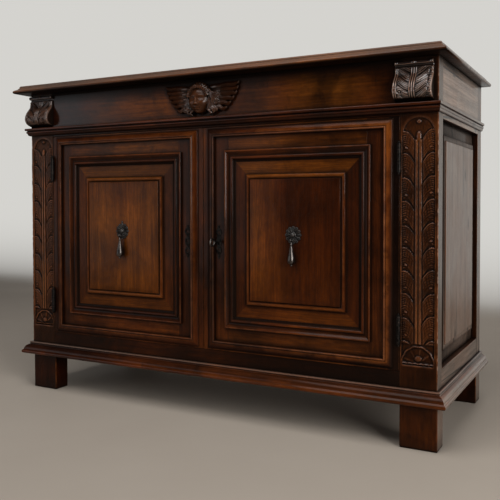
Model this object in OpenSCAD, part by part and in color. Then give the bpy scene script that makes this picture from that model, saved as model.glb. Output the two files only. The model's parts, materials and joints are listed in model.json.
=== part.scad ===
// Carved walnut sideboard with two panelled doors, corbels, a winged cherub and carved front posts.
// Millimetres. Origin at the middle of the floor footprint, +X right, the front faces -Y, +Z up.

/* [Carcass] */
// Width over the carcass, without mouldings
carcass_w = 1370; // [1100:10:1700]
// Depth over the carcass, back boards included
carcass_d = 515; // [440:5:620]

/* [Heights] */
// Height of the feet
foot_h = 116; // [90:1:160]
// Height of the front bottom rail
bottom_rail_h = 77; // [64:1:110]
// Height of the door opening
door_open_h = 640; // [560:5:760]
// Plain strip between the door opening and the waist moulding
lintel_h = 5; // [3:0.5:10]
// Height of the waist moulding
waist_h = 24; // [20:1:32]
// Height of the frieze above the waist moulding
frieze_h = 112; // [108:1:140]
// Thickness of the top board
top_t = 26; // [22:1:34]

/* [Top board] */
// Overhang of the top at the front
top_front_over = 50; // [35:1:70]
// Overhang of the top at each side
top_side_over = 30; // [20:1:50]
// Depth of the moulded edge of the top
top_edge_d = 28; // [22:1:34]

/* [Mouldings of the carcass] */
// Height of the base moulding
base_mould_h = 38; // [32:1:48]
// Projection of the base moulding
base_mould_p = 27; // [20:1:36]
// Projection of the waist moulding at the front
waist_front_p = 20; // [12:1:28]
// Projection of the waist moulding at the sides
waist_side_p = 10; // [7:1:16]

/* [Feet] */
// Width of a foot
foot_w = 98; // [70:1:130]
// Depth of a foot
foot_d = 53; // [45:1:90]
// How far the front feet stand back from the front
foot_setback = 3; // [0:0.5:12]
// Chamfer round the bottom of a foot
foot_chamfer = 3; // [1:0.5:6]

/* [Posts and rails] */
// Width of a front post
post_w = 98; // [88:1:130]
// Thickness of a front post, front to back
post_t = 40; // [34:1:60]
// Width of a rear post, side to side
rear_post_w = 40; // [34:1:60]
// Depth of a rear post, front to back
rear_post_d = 50; // [46:1:70]
// Thickness of the front bottom rail
rail_t = 28; // [24:1:34]
// Thickness of the front frieze board
frieze_t = 25; // [20:1:28]
// Thickness of the side rails and side frieze boards
side_t = 32; // [28:1:40]
// Height of a side bottom rail
side_rail_h = 86; // [70:1:120]
// How far the side frieze board reaches below the top of the door opening
side_head_drop = 8; // [0:1:30]
// Thickness of the rear rails
rear_rail_t = 25; // [20:1:30]
// Height of the rear top rail
rear_rail_h = 100; // [60:5:140]
// Thickness of the back boards
back_t = 15; // [10:1:20]
// Number of back boards
back_n = 7; // [4:1:10]
// Thickness of the tenons
tenon_t = 10; // [6:1:12]
// Length of the tenons on the front and side rails
tenon_len = 25; // [15:1:28]
// Length of the tenons on the rear rails
rear_tenon_len = 14; // [8:1:15]
// Shoulder above and below a tenon
tenon_shoulder = 10; // [5:1:16]

/* [Side panels] */
// How far the edge of a side panel lies behind the side frame
side_panel_recess = 16.5; // [13:0.5:18]
// Thickness of the tongue round a side panel
side_tongue_t = 8; // [6:0.5:9]
// Width of the sloping margin
side_margin_w = 36; // [24:1:50]
// Rise of the sloping margin
side_margin_rise = 4; // [2:0.5:5]
// Step from the margin up to the bead round the raised field
side_bead_step = 5.5; // [3:0.5:6]
// Width of the bead
side_bead_w = 14; // [8:1:18]
// Step from the bead up to the raised field
side_field_step = 3.5; // [2:0.5:4]
// Depth of the grooves that hold the panels
groove_d = 10; // [6:0.5:12]

/* [Inside] */
// Thickness of the bottom board
bottom_t = 20; // [16:1:26]
// How far the bottom board stands up behind the doors as a stop
door_stop_h = 8; // [4:1:14]
// Height of the underside of the shelf above the door opening's foot
shelf_up = 316; // [250:1:420]
// Thickness of the shelf
shelf_t = 20; // [15:1:26]
// Distance of the shelf's front edge behind the front face
shelf_back = 50; // [48:1:120]
// Width and height of the cleats
cleat_s = 25; // [18:1:32]

/* [Doors] */
// Thickness of the door frames
door_t = 28; // [26:1:32]
// Gap above and below a door
door_gap = 1; // [0.6:0.1:2]
// Gap between the two doors
meeting_gap = 2; // [1:0.1:4]
// Gap between a door and its post
hinge_gap = 0.5; // [0.4:0.1:1]
// Plain strip outside the outer moulding, at the sides
strip_side = 15; // [12:0.5:22]
// Plain strip outside the outer moulding, at top and bottom
strip_end = 4; // [2:0.5:12]
// Width of the outer moulding
outer_mould_w = 25; // [20:0.5:30]
// Height of the outer moulding
outer_mould_p = 10; // [8:0.5:14]
// Flat band of the stiles between the mouldings
stile_flat = 34; // [28:0.5:50]
// Flat band of the rails between the mouldings
rail_flat = 38; // [28:0.5:50]
// Width of the inner moulding
inner_mould_w = 33; // [28:0.5:40]
// Height of the inner moulding
inner_mould_p = 8; // [6:0.5:11]
// How far the inner moulding laps over the frame
inner_lap = 12; // [10:0.5:16]
// Width of the panel's flat margin
margin_w = 36; // [24:1:50]
// How far the panel's margin lies behind the frame
margin_sink = 3; // [1:0.5:5]
// Width of the moulded rise round the raised field
field_bead_w = 20; // [14:1:26]
// How far the raised field stands in front of the frame
field_rise = 6; // [4:0.5:8]
// Distance of the tongue and tenons behind the front of a door
door_groove_y = 10; // [8:0.5:12]
// Thickness of the tongue and tenons of a door
door_tongue_t = 8; // [6:0.5:9]
// Thickness of the panel behind its margin
panel_t = 19; // [17:0.5:21]
// Gap of the mitres in the mouldings of the doors
mitre_gap = 0.2; // [0.1:0.05:0.5]

/* [Hinges] */
// Distance of a hinge's middle from the end of the door opening
hinge_inset = 105; // [80:1:160]
// Length of a hinge barrel
hinge_len = 70; // [50:1:100]
// Radius of a hinge barrel
barrel_r = 5; // [4:0.25:6]
// Radius of a hinge pin
pin_r = 2; // [1.5:0.1:2.6]
// Running clearance round a hinge pin
pin_clear = 0.05; // [0.02:0.01:0.09]
// Thickness of a hinge leaf
leaf_t = 1.5; // [1:0.1:2.5]
// Depth of a hinge leaf behind the front face
leaf_d = 22; // [14:1:26]
// Clearance between the barrel and the wood behind it
barrel_clear = 0.25; // [0.2:0.05:0.5]
// Gap between two knuckles
knuckle_gap = 0.3; // [0.2:0.05:0.6]

/* [Handles] */
// Height of a rosette's centre above the foot of the door opening
handle_up = 337; // [260:1:420]
// Radius of a rosette over its petals
rosette_r = 24; // [18:0.5:28]
// Number of petals
petal_n = 12; // [8:1:16]
// Thickness of a rosette
rosette_t = 3; // [2:0.25:4]
// Radius of the boss in the middle of a rosette
boss_r = 8; // [6:0.5:9]
// Distance of the drop's pivot below the rosette's centre
pivot_down = 14; // [13:0.5:18]
// Distance of the drop's pivot in front of the field
pivot_out = 13; // [12:0.5:17]
// Radius of the drop's pivot pin
pivot_r = 1.8; // [1.4:0.1:2.4]
// Length of the drop below its pivot
drop_len = 70; // [50:1:90]
// Largest radius of the drop
drop_r = 10; // [8:0.5:11]

/* [Lock and bolts] */
// Height of the keyhole above the foot of the door opening
key_up = 312; // [240:1:400]
// Distance of the keyhole from the door's meeting edge
key_in = 53; // [50:0.5:58]
// Height of an escutcheon
escutcheon_h = 95; // [70:1:120]
// Width of an escutcheon
escutcheon_w = 20; // [16:0.5:22]
// Thickness of an escutcheon
escutcheon_t = 1.5; // [1:0.1:2]
// Radius of the key's shank
key_r = 2.9; // [2.4:0.1:3.2]
// Distance of the middle of the key's bow in front of the door
bow_out = 36; // [30:1:37]
// Radius of the ring of the key's bow
bow_r = 10; // [8:0.5:11]
// Radius of the metal of the key's bow
bow_wire_r = 2.5; // [2:0.1:3]
// Reach of the key's bit from the key's axis
bit_reach = 9; // [8:0.25:9.5]
// Depth of the lock case behind the door
case_d = 15; // [14:0.5:16]
// Travel of the lock bolt
bolt_throw = 10; // [8:0.5:10]
// Travel of the slide bolt on the left door
slide_throw = 14; // [8:1:20]

/* [Carving] */
// Depth of the sunk ground of the carved posts
carve_d = 3; // [2:0.5:4]
// Plain border beside the carving
carve_border = 5; // [4:0.5:10]
// Spacing of the leaves
leaf_pitch = 58; // [45:1:70]
// Height of a corbel
corbel_h = 103; // [96:1:106]
// Width of a corbel
corbel_w = 98; // [70:1:110]
// Height of a corbel's foot above the waist moulding
corbel_up = 3; // [1:0.5:5]
// Rise of the ribs on a corbel
corbel_rib = 3; // [2:0.5:4]
// How far the right corbel stands in from the corner; the left one is flush with it
corbel_in = 12; // [0:1:20]
// Height of the cherub's head with its hair
cherub_h = 96; // [80:1:104]
// Half the span of the cherub's wings
wing_reach = 130; // [100:1:160]

/* [Hidden] */
$fn = 48;
front_y = -carcass_d / 2 + (top_front_over) / 2;
back_y = front_y + carcass_d;
half_w = carcass_w / 2;
open_half = half_w - post_w;
open_z0 = foot_h + bottom_rail_h;
open_z1 = open_z0 + door_open_h;
waist_z0 = open_z1 + lintel_h;
waist_z1 = waist_z0 + waist_h;
carcass_z1 = waist_z1 + frieze_h;
board_gap = 0.5;
joint_gap = 0.2;
// How far a cutting shape reaches past the surface that it cuts
cut = 1;
// Rear structure, from the back plane forward
rail_back_y = back_y - back_t;
rear_post_y = back_y - rear_post_d;
rear_inner_x = half_w - rear_post_w;
// Side frame and panel planes
side_x = half_w - side_t;
side_z0 = foot_h + side_rail_h;
side_z1 = open_z1 - side_head_drop;
side_tongue_x1 = half_w - side_panel_recess;
side_tongue_x0 = side_tongue_x1 - side_tongue_t;
side_y0 = front_y + post_t;
side_tenon_x0 = half_w - side_t / 2 - tenon_t / 2;
// Inside levels
floor_z1 = open_z0 + door_stop_h;
floor_z0 = floor_z1 - bottom_t;
shelf_z0 = open_z0 + shelf_up;
// Doors
door_x0 = meeting_gap / 2;
door_x1 = open_half - hinge_gap;
door_z0 = open_z0 + door_gap;
door_z1 = open_z1 - door_gap;
door_back_y = front_y + door_t;
stile_w = strip_side + outer_mould_w + stile_flat + inner_lap;
rail_w = strip_end + outer_mould_w + rail_flat + inner_lap;
panel_x0 = door_x0 + stile_w;
panel_x1 = door_x1 - stile_w;
panel_z0 = door_z0 + rail_w;
panel_z1 = door_z1 - rail_w;
field_in = inner_mould_w - inner_lap + margin_w;
panel_mid_x = (panel_x0 + panel_x1) / 2;
// Hinges
hinge_x = open_half - hinge_gap / 2;
hinge_y = front_y - barrel_r - barrel_clear;
hinge_zs = [open_z0 + hinge_inset, open_z1 - hinge_inset];
knuckle_h = (hinge_len - 2 * knuckle_gap) / 3;
leaf_h = hinge_len - 8;
// Handles
handle_z = open_z0 + handle_up;
field_y = front_y - field_rise;
pivot_y = field_y - pivot_out;
pivot_z = handle_z - pivot_down;
pivot_clear = 0.06;
lug_half = 3;
lug_r = pivot_r + 2.2;
ear_gap = 0.3;
ear_t = 2.2;
// Lock
key_x = door_x0 + key_in;
key_z = open_z0 + key_up;
case_wall = 2;
case_x0 = door_x0 + 3;
case_x1 = key_x + 30;
case_z0 = key_z - 30;
case_z1 = key_z + 28;
case_back_y = door_back_y + case_d;
bolt_z0 = key_z + 6;
bolt_z1 = bolt_z0 + 12;
bolt_y0 = door_back_y + 2;
bolt_t = 6;
notch_x0 = key_x + bolt_throw - 3.6;
notch_w = 10.8;
notch_h = bit_reach - 6 + 0.8;
key_clear = 0.1;
// Slide bolt on the left door, mirrored with it
slide_x = door_x0 + 40;
slide_w = 12;
slide_t = 5;
slide_gap = 0.3;
slide_len = 110;
slide_z1 = door_z1 - 3;
slide_knob_z = slide_z1 - slide_len + 42;
staple_h = 12;
staple_t = 2;
staple_zs = [slide_z1 - 30, slide_z1 - slide_len + 8];
// Carving
carve_x = half_w - post_w / 2;
carve_half = post_w / 2 - carve_border;
carve_z0 = open_z0 + 19;
carve_z1 = open_z1 - 3;
rib_half = 7.5;
fan_r = carve_half - 3;
corbel_z0 = waist_z1 + corbel_up;
cherub_z = waist_z1 + 6;

WALNUT = "#4b2a18";
WALNUT_DARK = "#33190e";
WALNUT_LIGHT = "#63391f";
PLAIN_WOOD = "#6b4a30";
IRON = "#26231f";
STEEL = "#7d766c";

// Points of an arc about c, from angle a0 to a1
function arc(c, r, a0, a1, n = 8) =
    [for (i = [0:n]) let (a = a0 + (a1 - a0) * i / n) [c[0] + r * cos(a), c[1] + r * sin(a)]];

// A curve that sags below or bulges above the straight line from p to q by s
function bow(p, q, s, n = 8) =
    [for (i = [0:n]) let (t = i / n, k = 4 * s * t * (1 - t), d = q - p, m = norm(d))
        [p[0] + d[0] * t - d[1] / m * k, p[1] + d[1] * t + d[0] / m * k]];

// Edge of the top: flat underside, round nose, long thumbnail, fillet and a rounded arris
function top_profile(d, h) = concat(
    [[0, 0]],
    arc([d - h * 0.21, h * 0.21], h * 0.21, -90, 50),
    bow([d - h * 0.2, h * 0.46], [d * 0.5, h * 0.74], h * 0.05, 6),
    [[d * 0.46, h * 0.74], [d * 0.46, h * 0.84]],
    arc([d * 0.46 - h * 0.16, h * 0.84], h * 0.16, 0, 90, 5),
    [[0, h]]
);

// Base: bead, fillet, long cyma and a round nose at the bottom
function base_profile(p, h) = concat(
    [[0, 0]],
    arc([p - h * 0.17, h * 0.17], h * 0.17, -90, 60),
    [[p * 0.8, h * 0.36]],
    bow([p * 0.8, h * 0.4], [p * 0.34, h * 0.76], -h * 0.06, 8),
    [[p * 0.28, h * 0.76], [p * 0.28, h * 0.83]],
    arc([p * 0.17, h * 0.915], h * 0.085, -60, 90, 6),
    [[0, h]]
);

// Waist: a thin shelf above a roll, a fillet and a cavetto
function waist_profile(p, h) = concat(
    [[0, 0], [p * 0.25, 0]],
    bow([p * 0.3, h * 0.03], [p * 0.55, h * 0.25], -h * 0.04, 5),
    [[p * 0.55, h * 0.31]],
    [for (i = [0:6]) let (a = -80 + 160 * i / 6) [p * (0.58 + 0.2 * cos(a)), h * (0.47 + 0.15 * sin(a))]],
    [[p * 0.62, h * 0.66], [p * 0.92, h * 0.7], [p, h * 0.76], [p, h * 0.92], [p * 0.94, h], [0, h]]
);

// Outer moulding of a door: low at its outer edge, highest at the inner arris
function outer_profile(w, p) = concat(
    [[0, 0], [0, p * 0.2], [w * 0.1, p * 0.2]],
    bow([w * 0.12, p * 0.3], [w * 0.72, p * 0.82], p * 0.1, 8),
    [[w * 0.74, p * 0.72]],
    arc([w * 0.87, p * 0.74], w * 0.1, 150, 0, 8),
    [[w, p * 0.6], [w, 0]]
);

// Inner moulding of a door: arris at the outer edge, stepping down over the panel's margin
function inner_profile(w, p, lap, sink) = concat(
    [[0, 0], [0, p * 0.7]],
    arc([w * 0.09, p * 0.7], w * 0.09, 180, 20, 7),
    bow([w * 0.2, p * 0.74], [w * 0.48, p * 0.2], -p * 0.12, 6),
    [[w * 0.52, p * 0.2]],
    arc([w * 0.66, p * 0.12], w * 0.14, 160, 0, 7),
    bow([w * 0.82, p * 0.02], [w, -sink * 0.6], -p * 0.03, 4),
    [[w, -sink], [lap + joint_gap, -sink], [lap + joint_gap, 0]]
);

// A box between two corners
module block(a, b) {
    translate(a)
        cube(b - a);
}

// Extrudes an outline of [outward, up] points along X, outward to the front, from x0 to x1
module run_x(outline, x0, x1) {
    translate([x0, 0, 0])
        mirror([0, 1, 0])
            rotate([90, 0, 90])
                linear_extrude(x1 - x0)
                    polygon(outline);
}

// Extrudes an outline of [outward, up] points along Y, outward to the right, from y0 to y1
module run_y(outline, y0, y1) {
    translate([0, y1, 0])
        rotate([90, 0, 0])
            linear_extrude(y1 - y0)
                polygon(outline);
}

// Right-hand parts are drawn, and left-hand parts are their mirror image
module left() {
    mirror([1, 0, 0])
        children();
}

// The front strip of a moulding, mitred at both ends
module mould_front(outline, w, y, z, h, ps, pf) {
    intersection() {
        translate([0, y, z])
            run_x(outline, -w - ps, w + ps);
        translate([0, 0, z - cut])
            linear_extrude(h + 2 * cut)
                polygon([[-w, y], [-w - ps, y - pf], [w + ps, y - pf], [w, y]]);
    }
}

// The right side strip of a moulding, mitred at the front
module mould_side(outline, w, y, z, h, ps, pf, y1) {
    intersection() {
        translate([w, 0, z])
            run_y(outline, y - pf, y1);
        translate([0, 0, z - cut])
            linear_extrude(h + 2 * cut)
                polygon([[w, y], [w + ps, y - pf], [w + ps, y1], [w, y1]]);
    }
}

// Four mitred strips round the rectangle x0..x1, z0..z1 on the face at y; the outline runs inward
module door_frame_moulding(outline, w, y, x0, x1, z0, z1) {
    for (side = [0, 1])
        door_strip_upright(outline, w, y, side ? x1 : x0, side ? -1 : 1, z0, z1);
    for (side = [0, 1])
        door_strip_level(outline, w, y, side ? z1 : z0, side ? -1 : 1, x0, x1);
}

module door_strip_upright(outline, w, y, x, dir, z0, z1) {
    intersection() {
        translate([x, y, z0])
            linear_extrude(z1 - z0)
                polygon([for (p = outline) [dir * p[0], -p[1]]]);
        translate([x, y + door_t, 0])
            rotate([90, 0, 0])
                linear_extrude(2 * door_t)
                    polygon([
                        [0, z0 + mitre_gap], [dir * w, z0 + w + mitre_gap],
                        [dir * w, z1 - w - mitre_gap], [0, z1 - mitre_gap]
                    ]);
    }
}

module door_strip_level(outline, w, y, z, dir, x0, x1) {
    intersection() {
        translate([x0, y, z])
            rotate([90, 0, 90])
                linear_extrude(x1 - x0)
                    polygon([for (p = outline) [-p[1], dir * p[0]]]);
        translate([0, y + door_t, z])
            rotate([90, 0, 0])
                linear_extrude(2 * door_t)
                    polygon([
                        [x0 + mitre_gap, 0], [x0 + w + mitre_gap, dir * w],
                        [x1 - w - mitre_gap, dir * w], [x1 - mitre_gap, 0]
                    ]);
    }
}

module top_board() {
    w = half_w + top_side_over - top_edge_d;
    y = front_y - top_front_over + top_edge_d;
    outline = top_profile(top_edge_d, top_t);
    color(WALNUT_DARK)
        union() {
            block([-w, y, carcass_z1], [w, back_y, carcass_z1 + top_t]);
            mould_front(outline, w, y, carcass_z1, top_t, top_edge_d, top_edge_d);
            mould_side(outline, w, y, carcass_z1, top_t, top_edge_d, top_edge_d, back_y);
            left()
                mould_side(outline, w, y, carcass_z1, top_t, top_edge_d, top_edge_d, back_y);
        }
}

// Rear face of a front post: slots for the tenons of the side frame and for the panel
module side_frame_slots(y0, y1) {
    x0 = side_tenon_x0 - joint_gap;
    x1 = side_tenon_x0 + tenon_t + joint_gap;
    block([x0, y0, foot_h + tenon_shoulder - joint_gap],
          [x1, y1, side_z0 - tenon_shoulder + joint_gap]);
    block([x0, y0, side_z1 + tenon_shoulder - joint_gap],
          [x1, y1, carcass_z1 - tenon_shoulder + joint_gap]);
}

// Sunk ground of the carving: square foot and round head
module carved_ground() {
    translate([carve_x, front_y + carve_d, 0])
        rotate([90, 0, 0])
            linear_extrude(carve_d + 1)
                union() {
                    translate([-carve_half, carve_z0])
                        square([2 * carve_half, carve_z1 - carve_half - carve_z0]);
                    translate([0, carve_z1 - carve_half])
                        circle(carve_half);
                }
}

// Outline of the leaves of one column, each a crescent that rises to the outer edge
module leaf_arcs() {
    top = carve_z1 - carve_half;
    for (z = [top : -leaf_pitch : carve_z0 + fan_r + 20])
        for (side = [-1, 1])
            intersection() {
                translate([side * (carve_half - 8), z - 34])
                    difference() {
                        circle(30);
                        translate([0, -3])
                            circle(27);
                    }
                translate([side > 0 ? rib_half : -carve_half, z - 34])
                    square([carve_half - rib_half, 34]);
            }
}

// Carved relief: central ribs, leaf arcs, a fan at the foot and a boss in the arch
module carved_relief() {
    fan_z = carve_z0 + 6;
    translate([carve_x, front_y + carve_d, 0])
        rotate([90, 0, 0]) {
            linear_extrude(carve_d - 0.5)
                union() {
                    for (side = [-1, 1])
                        translate([side * (rib_half - 2) - 2, fan_z + fan_r])
                            square([4, carve_z1 - carve_half - fan_z - fan_r]);
                    leaf_arcs();
                    translate([0, fan_z])
                        intersection() {
                            difference() {
                                circle(fan_r);
                                circle(fan_r - 4);
                            }
                            translate([-fan_r, 0])
                                square([2 * fan_r, fan_r]);
                        }
                    translate([0, fan_z + 12])
                        circle(7);
                    translate([0, carve_z1 - carve_half + 8])
                        circle(8);
                }
        }
}

module front_post() {
    rail_y = front_y + rail_t / 2 - tenon_t / 2;
    frieze_y = front_y + frieze_t / 2 - tenon_t / 2;
    color(WALNUT)
        union() {
            difference() {
                block([open_half, front_y, foot_h], [half_w, front_y + post_t, carcass_z1]);
                carved_ground();
                block([open_half - 1, rail_y - joint_gap, foot_h + tenon_shoulder - joint_gap],
                      [open_half + tenon_len + joint_gap, rail_y + tenon_t + joint_gap,
                       open_z0 - tenon_shoulder + joint_gap]);
                block([open_half - 1, frieze_y - joint_gap, open_z1 + tenon_shoulder - joint_gap],
                      [open_half + tenon_len + joint_gap, frieze_y + tenon_t + joint_gap,
                       carcass_z1 - tenon_shoulder + joint_gap]);
                side_frame_slots(side_y0 - tenon_len - joint_gap, side_y0 + 1);
                block([side_tongue_x0 - joint_gap, side_y0 - groove_d - joint_gap, side_z0 - groove_d],
                      [side_tongue_x1 + joint_gap, side_y0 + 1, side_z1 + groove_d]);
                hinge_pockets(open_half, 1);
            }
            carved_relief();
        }
}

// Shallow pockets for the hinge leaves in the joint face at x
module hinge_pockets(x, dir) {
    for (z = hinge_zs)
        block([min(x, x + dir * (leaf_t + joint_gap)) - (dir < 0 ? 0 : 1), front_y - 20,
               z - leaf_h / 2 - joint_gap],
              [max(x, x + dir * (leaf_t + joint_gap)) + (dir < 0 ? 1 : 0),
               front_y + leaf_d + joint_gap, z + leaf_h / 2 + joint_gap]);
}

module front_post_right() front_post();
module front_post_left() left() front_post();

module rear_post() {
    rear_y = rail_back_y - rear_rail_t / 2 - tenon_t / 2;
    color(PLAIN_WOOD)
        difference() {
            block([rear_inner_x, rear_post_y, foot_h], [half_w, back_y, carcass_z1]);
            side_frame_slots(rear_post_y - 1, rear_post_y + tenon_len + joint_gap);
            block([side_tongue_x0 - joint_gap, rear_post_y - 1, side_z0 - groove_d],
                  [side_tongue_x1 + joint_gap, rear_post_y + groove_d + joint_gap, side_z1 + groove_d]);
            for (span = [[foot_h, floor_z0], [carcass_z1 - rear_rail_h, carcass_z1]])
                block([rear_inner_x - 1, rear_y - joint_gap, span[0] + tenon_shoulder - joint_gap],
                      [rear_inner_x + rear_tenon_len + joint_gap, rear_y + tenon_t + joint_gap,
                       span[1] - tenon_shoulder + joint_gap]);
        }
}

module rear_post_right() rear_post();
module rear_post_left() left() rear_post();

// A board between the front posts with a tenon at each end
module front_board(t, z0, z1) {
    y = front_y + t / 2 - tenon_t / 2;
    block([-open_half, front_y, z0], [open_half, front_y + t, z1]);
    block([-open_half - tenon_len, y, z0 + tenon_shoulder],
          [open_half + tenon_len, y + tenon_t, z1 - tenon_shoulder]);
}

module front_bottom_rail() {
    color(WALNUT)
        union()
            front_board(rail_t, foot_h, open_z0);
}

module frieze_front() {
    color(WALNUT_DARK)
        union()
            front_board(frieze_t, open_z1, carcass_z1);
}

// A board of the side frame with a tenon at each end and a groove for the panel
module side_board(z0, z1, groove_z) {
    difference() {
        union() {
            block([side_x, side_y0, z0], [half_w, rear_post_y, z1]);
            block([side_tenon_x0, side_y0 - tenon_len, z0 + tenon_shoulder],
                  [side_tenon_x0 + tenon_t, rear_post_y + tenon_len, z1 - tenon_shoulder]);
        }
        block([side_tongue_x0 - joint_gap, side_y0 - tenon_len - 1, groove_z - groove_d - joint_gap],
              [side_tongue_x1 + joint_gap, rear_post_y + tenon_len + 1, groove_z + groove_d + joint_gap]);
    }
}

module frieze_right() {
    color(WALNUT_DARK)
        side_board(side_z1, carcass_z1, side_z1);
}

module frieze_left() left() frieze_right();

module side_rail_right() {
    color(WALNUT)
        side_board(foot_h, side_z0, side_z0);
}

module side_rail_left() left() side_rail_right();

// Height of the side panel's face above its tongue, at a distance from the frame
function side_panel_profile() = [
    [0, -groove_d + joint_gap], [side_tongue_t, -groove_d + joint_gap], [side_tongue_t, 0],
    [side_tongue_t + side_margin_rise, side_margin_w],
    [side_tongue_t + side_margin_rise + side_bead_step, side_margin_w + 1],
    [side_tongue_t + side_margin_rise + side_bead_step, side_margin_w + side_bead_w],
    [side_tongue_t + side_margin_rise + side_bead_step + side_field_step, side_margin_w + side_bead_w + 1]
];

// An edge outline at -half, closed by its mirror image at +half
function two_sided(edge, half) = concat(
    [for (p = edge) [p[0], p[1] - half]],
    [for (i = [len(edge) - 1 : -1 : 0]) [edge[i][0], half - edge[i][1]]]
);

module side_panel_right() {
    edge = side_panel_profile();
    z_mid = (side_z0 + side_z1) / 2;
    y_mid = (side_y0 + rear_post_y) / 2;
    z_half = (side_z1 - side_z0) / 2;
    y_half = (rear_post_y - side_y0) / 2;
    up = two_sided(edge, z_half);
    across = two_sided(edge, y_half);
    color(WALNUT)
        intersection() {
            translate([side_tongue_x0, rear_post_y + groove_d, z_mid])
                rotate([90, 0, 0])
                    linear_extrude(rear_post_y - side_y0 + 2 * groove_d)
                        polygon(up);
            translate([side_tongue_x0, y_mid, side_z0 - groove_d])
                linear_extrude(side_z1 - side_z0 + 2 * groove_d)
                    polygon(across);
        }
}

module side_panel_left() left() side_panel_right();

module rear_rails() {
    y1 = rail_back_y;
    y0 = y1 - rear_rail_t;
    ty = (y0 + y1) / 2 - tenon_t / 2;
    color(PLAIN_WOOD)
        for (span = [[foot_h, floor_z0], [carcass_z1 - rear_rail_h, carcass_z1]])
            union() {
                block([-rear_inner_x, y0, span[0]], [rear_inner_x, y1, span[1]]);
                block([-rear_inner_x - rear_tenon_len, ty, span[0] + tenon_shoulder],
                      [rear_inner_x + rear_tenon_len, ty + tenon_t, span[1] - tenon_shoulder]);
            }
}

module back_boards() {
    gap = 1.5;
    pitch = (2 * rear_inner_x) / back_n;
    color(PLAIN_WOOD)
        for (i = [0 : back_n - 1])
            block([-rear_inner_x + i * pitch + gap / 2, rail_back_y, foot_h],
                  [-rear_inner_x + (i + 1) * pitch - gap / 2, back_y, carcass_z1]);
}

// An inside board notched round the posts
module inside_board(y0, z0, z1) {
    x1 = side_x - board_gap;
    color(PLAIN_WOOD)
        difference() {
            block([-x1, y0, z0], [x1, rail_back_y - board_gap, z1]);
            for (s = [-1, 1]) {
                block([s > 0 ? open_half - board_gap : -half_w, front_y, z0 - 1],
                      [s > 0 ? half_w : -open_half + board_gap, side_y0 + board_gap, z1 + 1]);
                block([s > 0 ? rear_inner_x - board_gap : -half_w, rear_post_y - board_gap, z0 - 1],
                      [s > 0 ? half_w : -rear_inner_x + board_gap, back_y, z1 + 1]);
            }
        }
}

module bottom_board() inside_board(door_back_y + board_gap, floor_z0, floor_z1);

module shelf() inside_board(front_y + shelf_back, shelf_z0, shelf_z0 + shelf_t);

// Cleats under the shelf, against the side panels, and under the bottom board, against the side rails
module shelf_cleats() {
    color(PLAIN_WOOD)
        for (level = [[shelf_z0, side_tongue_x0], [floor_z0, side_x]])
            for (s = [-1, 1])
                block([s > 0 ? level[1] - cleat_s : -level[1], side_y0, level[0] - cleat_s],
                      [s > 0 ? level[1] : -level[1] + cleat_s, rear_post_y, level[0]]);
}

module waist_moulding_front() {
    color(WALNUT_DARK)
        mould_front(waist_profile(waist_front_p, waist_h), half_w, front_y, waist_z0, waist_h,
                    waist_side_p, waist_front_p);
}

module waist_moulding_right() {
    color(WALNUT_DARK)
        mould_side(waist_profile(waist_side_p, waist_h), half_w, front_y, waist_z0, waist_h,
                   waist_side_p, waist_front_p, back_y);
}

module waist_moulding_left() left() waist_moulding_right();

module base_moulding_front() {
    color(WALNUT_LIGHT)
        mould_front(base_profile(base_mould_p, base_mould_h), half_w, front_y, foot_h, base_mould_h,
                    base_mould_p, base_mould_p);
}

module base_moulding_right() {
    color(WALNUT_LIGHT)
        mould_side(base_profile(base_mould_p, base_mould_h), half_w, front_y, foot_h, base_mould_h,
                   base_mould_p, base_mould_p, back_y);
}

module base_moulding_left() left() base_moulding_right();

// Side of a foot, w wide, with its lower corners chamfered
function foot_outline(w) = [
    [foot_chamfer, 0], [w - foot_chamfer, 0], [w, foot_chamfer], [w, foot_h], [0, foot_h], [0, foot_chamfer]
];

// A block foot
module foot(y0) {
    color(WALNUT)
        intersection() {
            translate([half_w - foot_w, y0 + foot_d, 0])
                rotate([90, 0, 0])
                    linear_extrude(foot_d)
                        polygon(foot_outline(foot_w));
            translate([half_w - foot_w, y0, 0])
                rotate([90, 0, 90])
                    linear_extrude(foot_w)
                        polygon(foot_outline(foot_d));
        }
}

module foot_front_right() foot(front_y + foot_setback);
module foot_front_left() left() foot_front_right();
module foot_rear_right() foot(back_y - foot_d);
module foot_rear_left() left() foot_rear_right();

// Side view of a corbel: curled foot, swelling breast and neck; d sets how far it swells
function corbel_outline(d, h) = concat(
    [[0, 0], [h * 0.05, h * 0.03]],
    arc([h * 0.09, h * 0.25], h * 0.165 + d, -80, 35, 10),
    bow([h * 0.22 + d, h * 0.38], [h * 0.04 + d, h * 0.66], h * 0.015, 6),
    [[h * 0.02 + d, h * 0.82], [h * 0.02, h * 0.84], [h * 0.02, h], [0, h]]
);

// A bar of half-round section that reaches out to d before its nose of radius r
function half_round(d, r) = concat([[0, -r]], arc([d, 0], r, -90, 90, 8), [[0, r]]);

module corbel(inset) {
    x0 = carve_x - corbel_w / 2;
    x1 = carve_x + corbel_w / 2;
    edge = corbel_w * 0.1;
    color(WALNUT_DARK)
        translate([-inset, front_y, corbel_z0])
            union() {
                run_x(corbel_outline(0, corbel_h), x0, x1);
                for (span = [[x0, x0 + edge], [carve_x - edge * 0.8, carve_x - edge * 0.15],
                             [carve_x + edge * 0.15, carve_x + edge * 0.8], [x1 - edge, x1]])
                    run_x(corbel_outline(corbel_rib, corbel_h), span[0], span[1]);
                for (i = [0:2])
                    translate([0, 0, corbel_h * (0.87 + 0.055 * i)])
                        run_x(half_round(corbel_h * (i == 1 ? 0.05 : 0.035), 3), x0, x1);
            }
}

module corbel_right() corbel(corbel_in);
module corbel_left() left() corbel(0);

// One feather of a wing, a bar with a round end, in the plane of the frieze
module feather(len, w, t) {
    rotate([90, 0, 0])
        linear_extrude(t)
            union() {
                translate([0, -w / 2])
                    square([len - w / 2, w]);
                translate([len - w / 2, 0])
                    circle(w / 2);
            }
}

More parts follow.
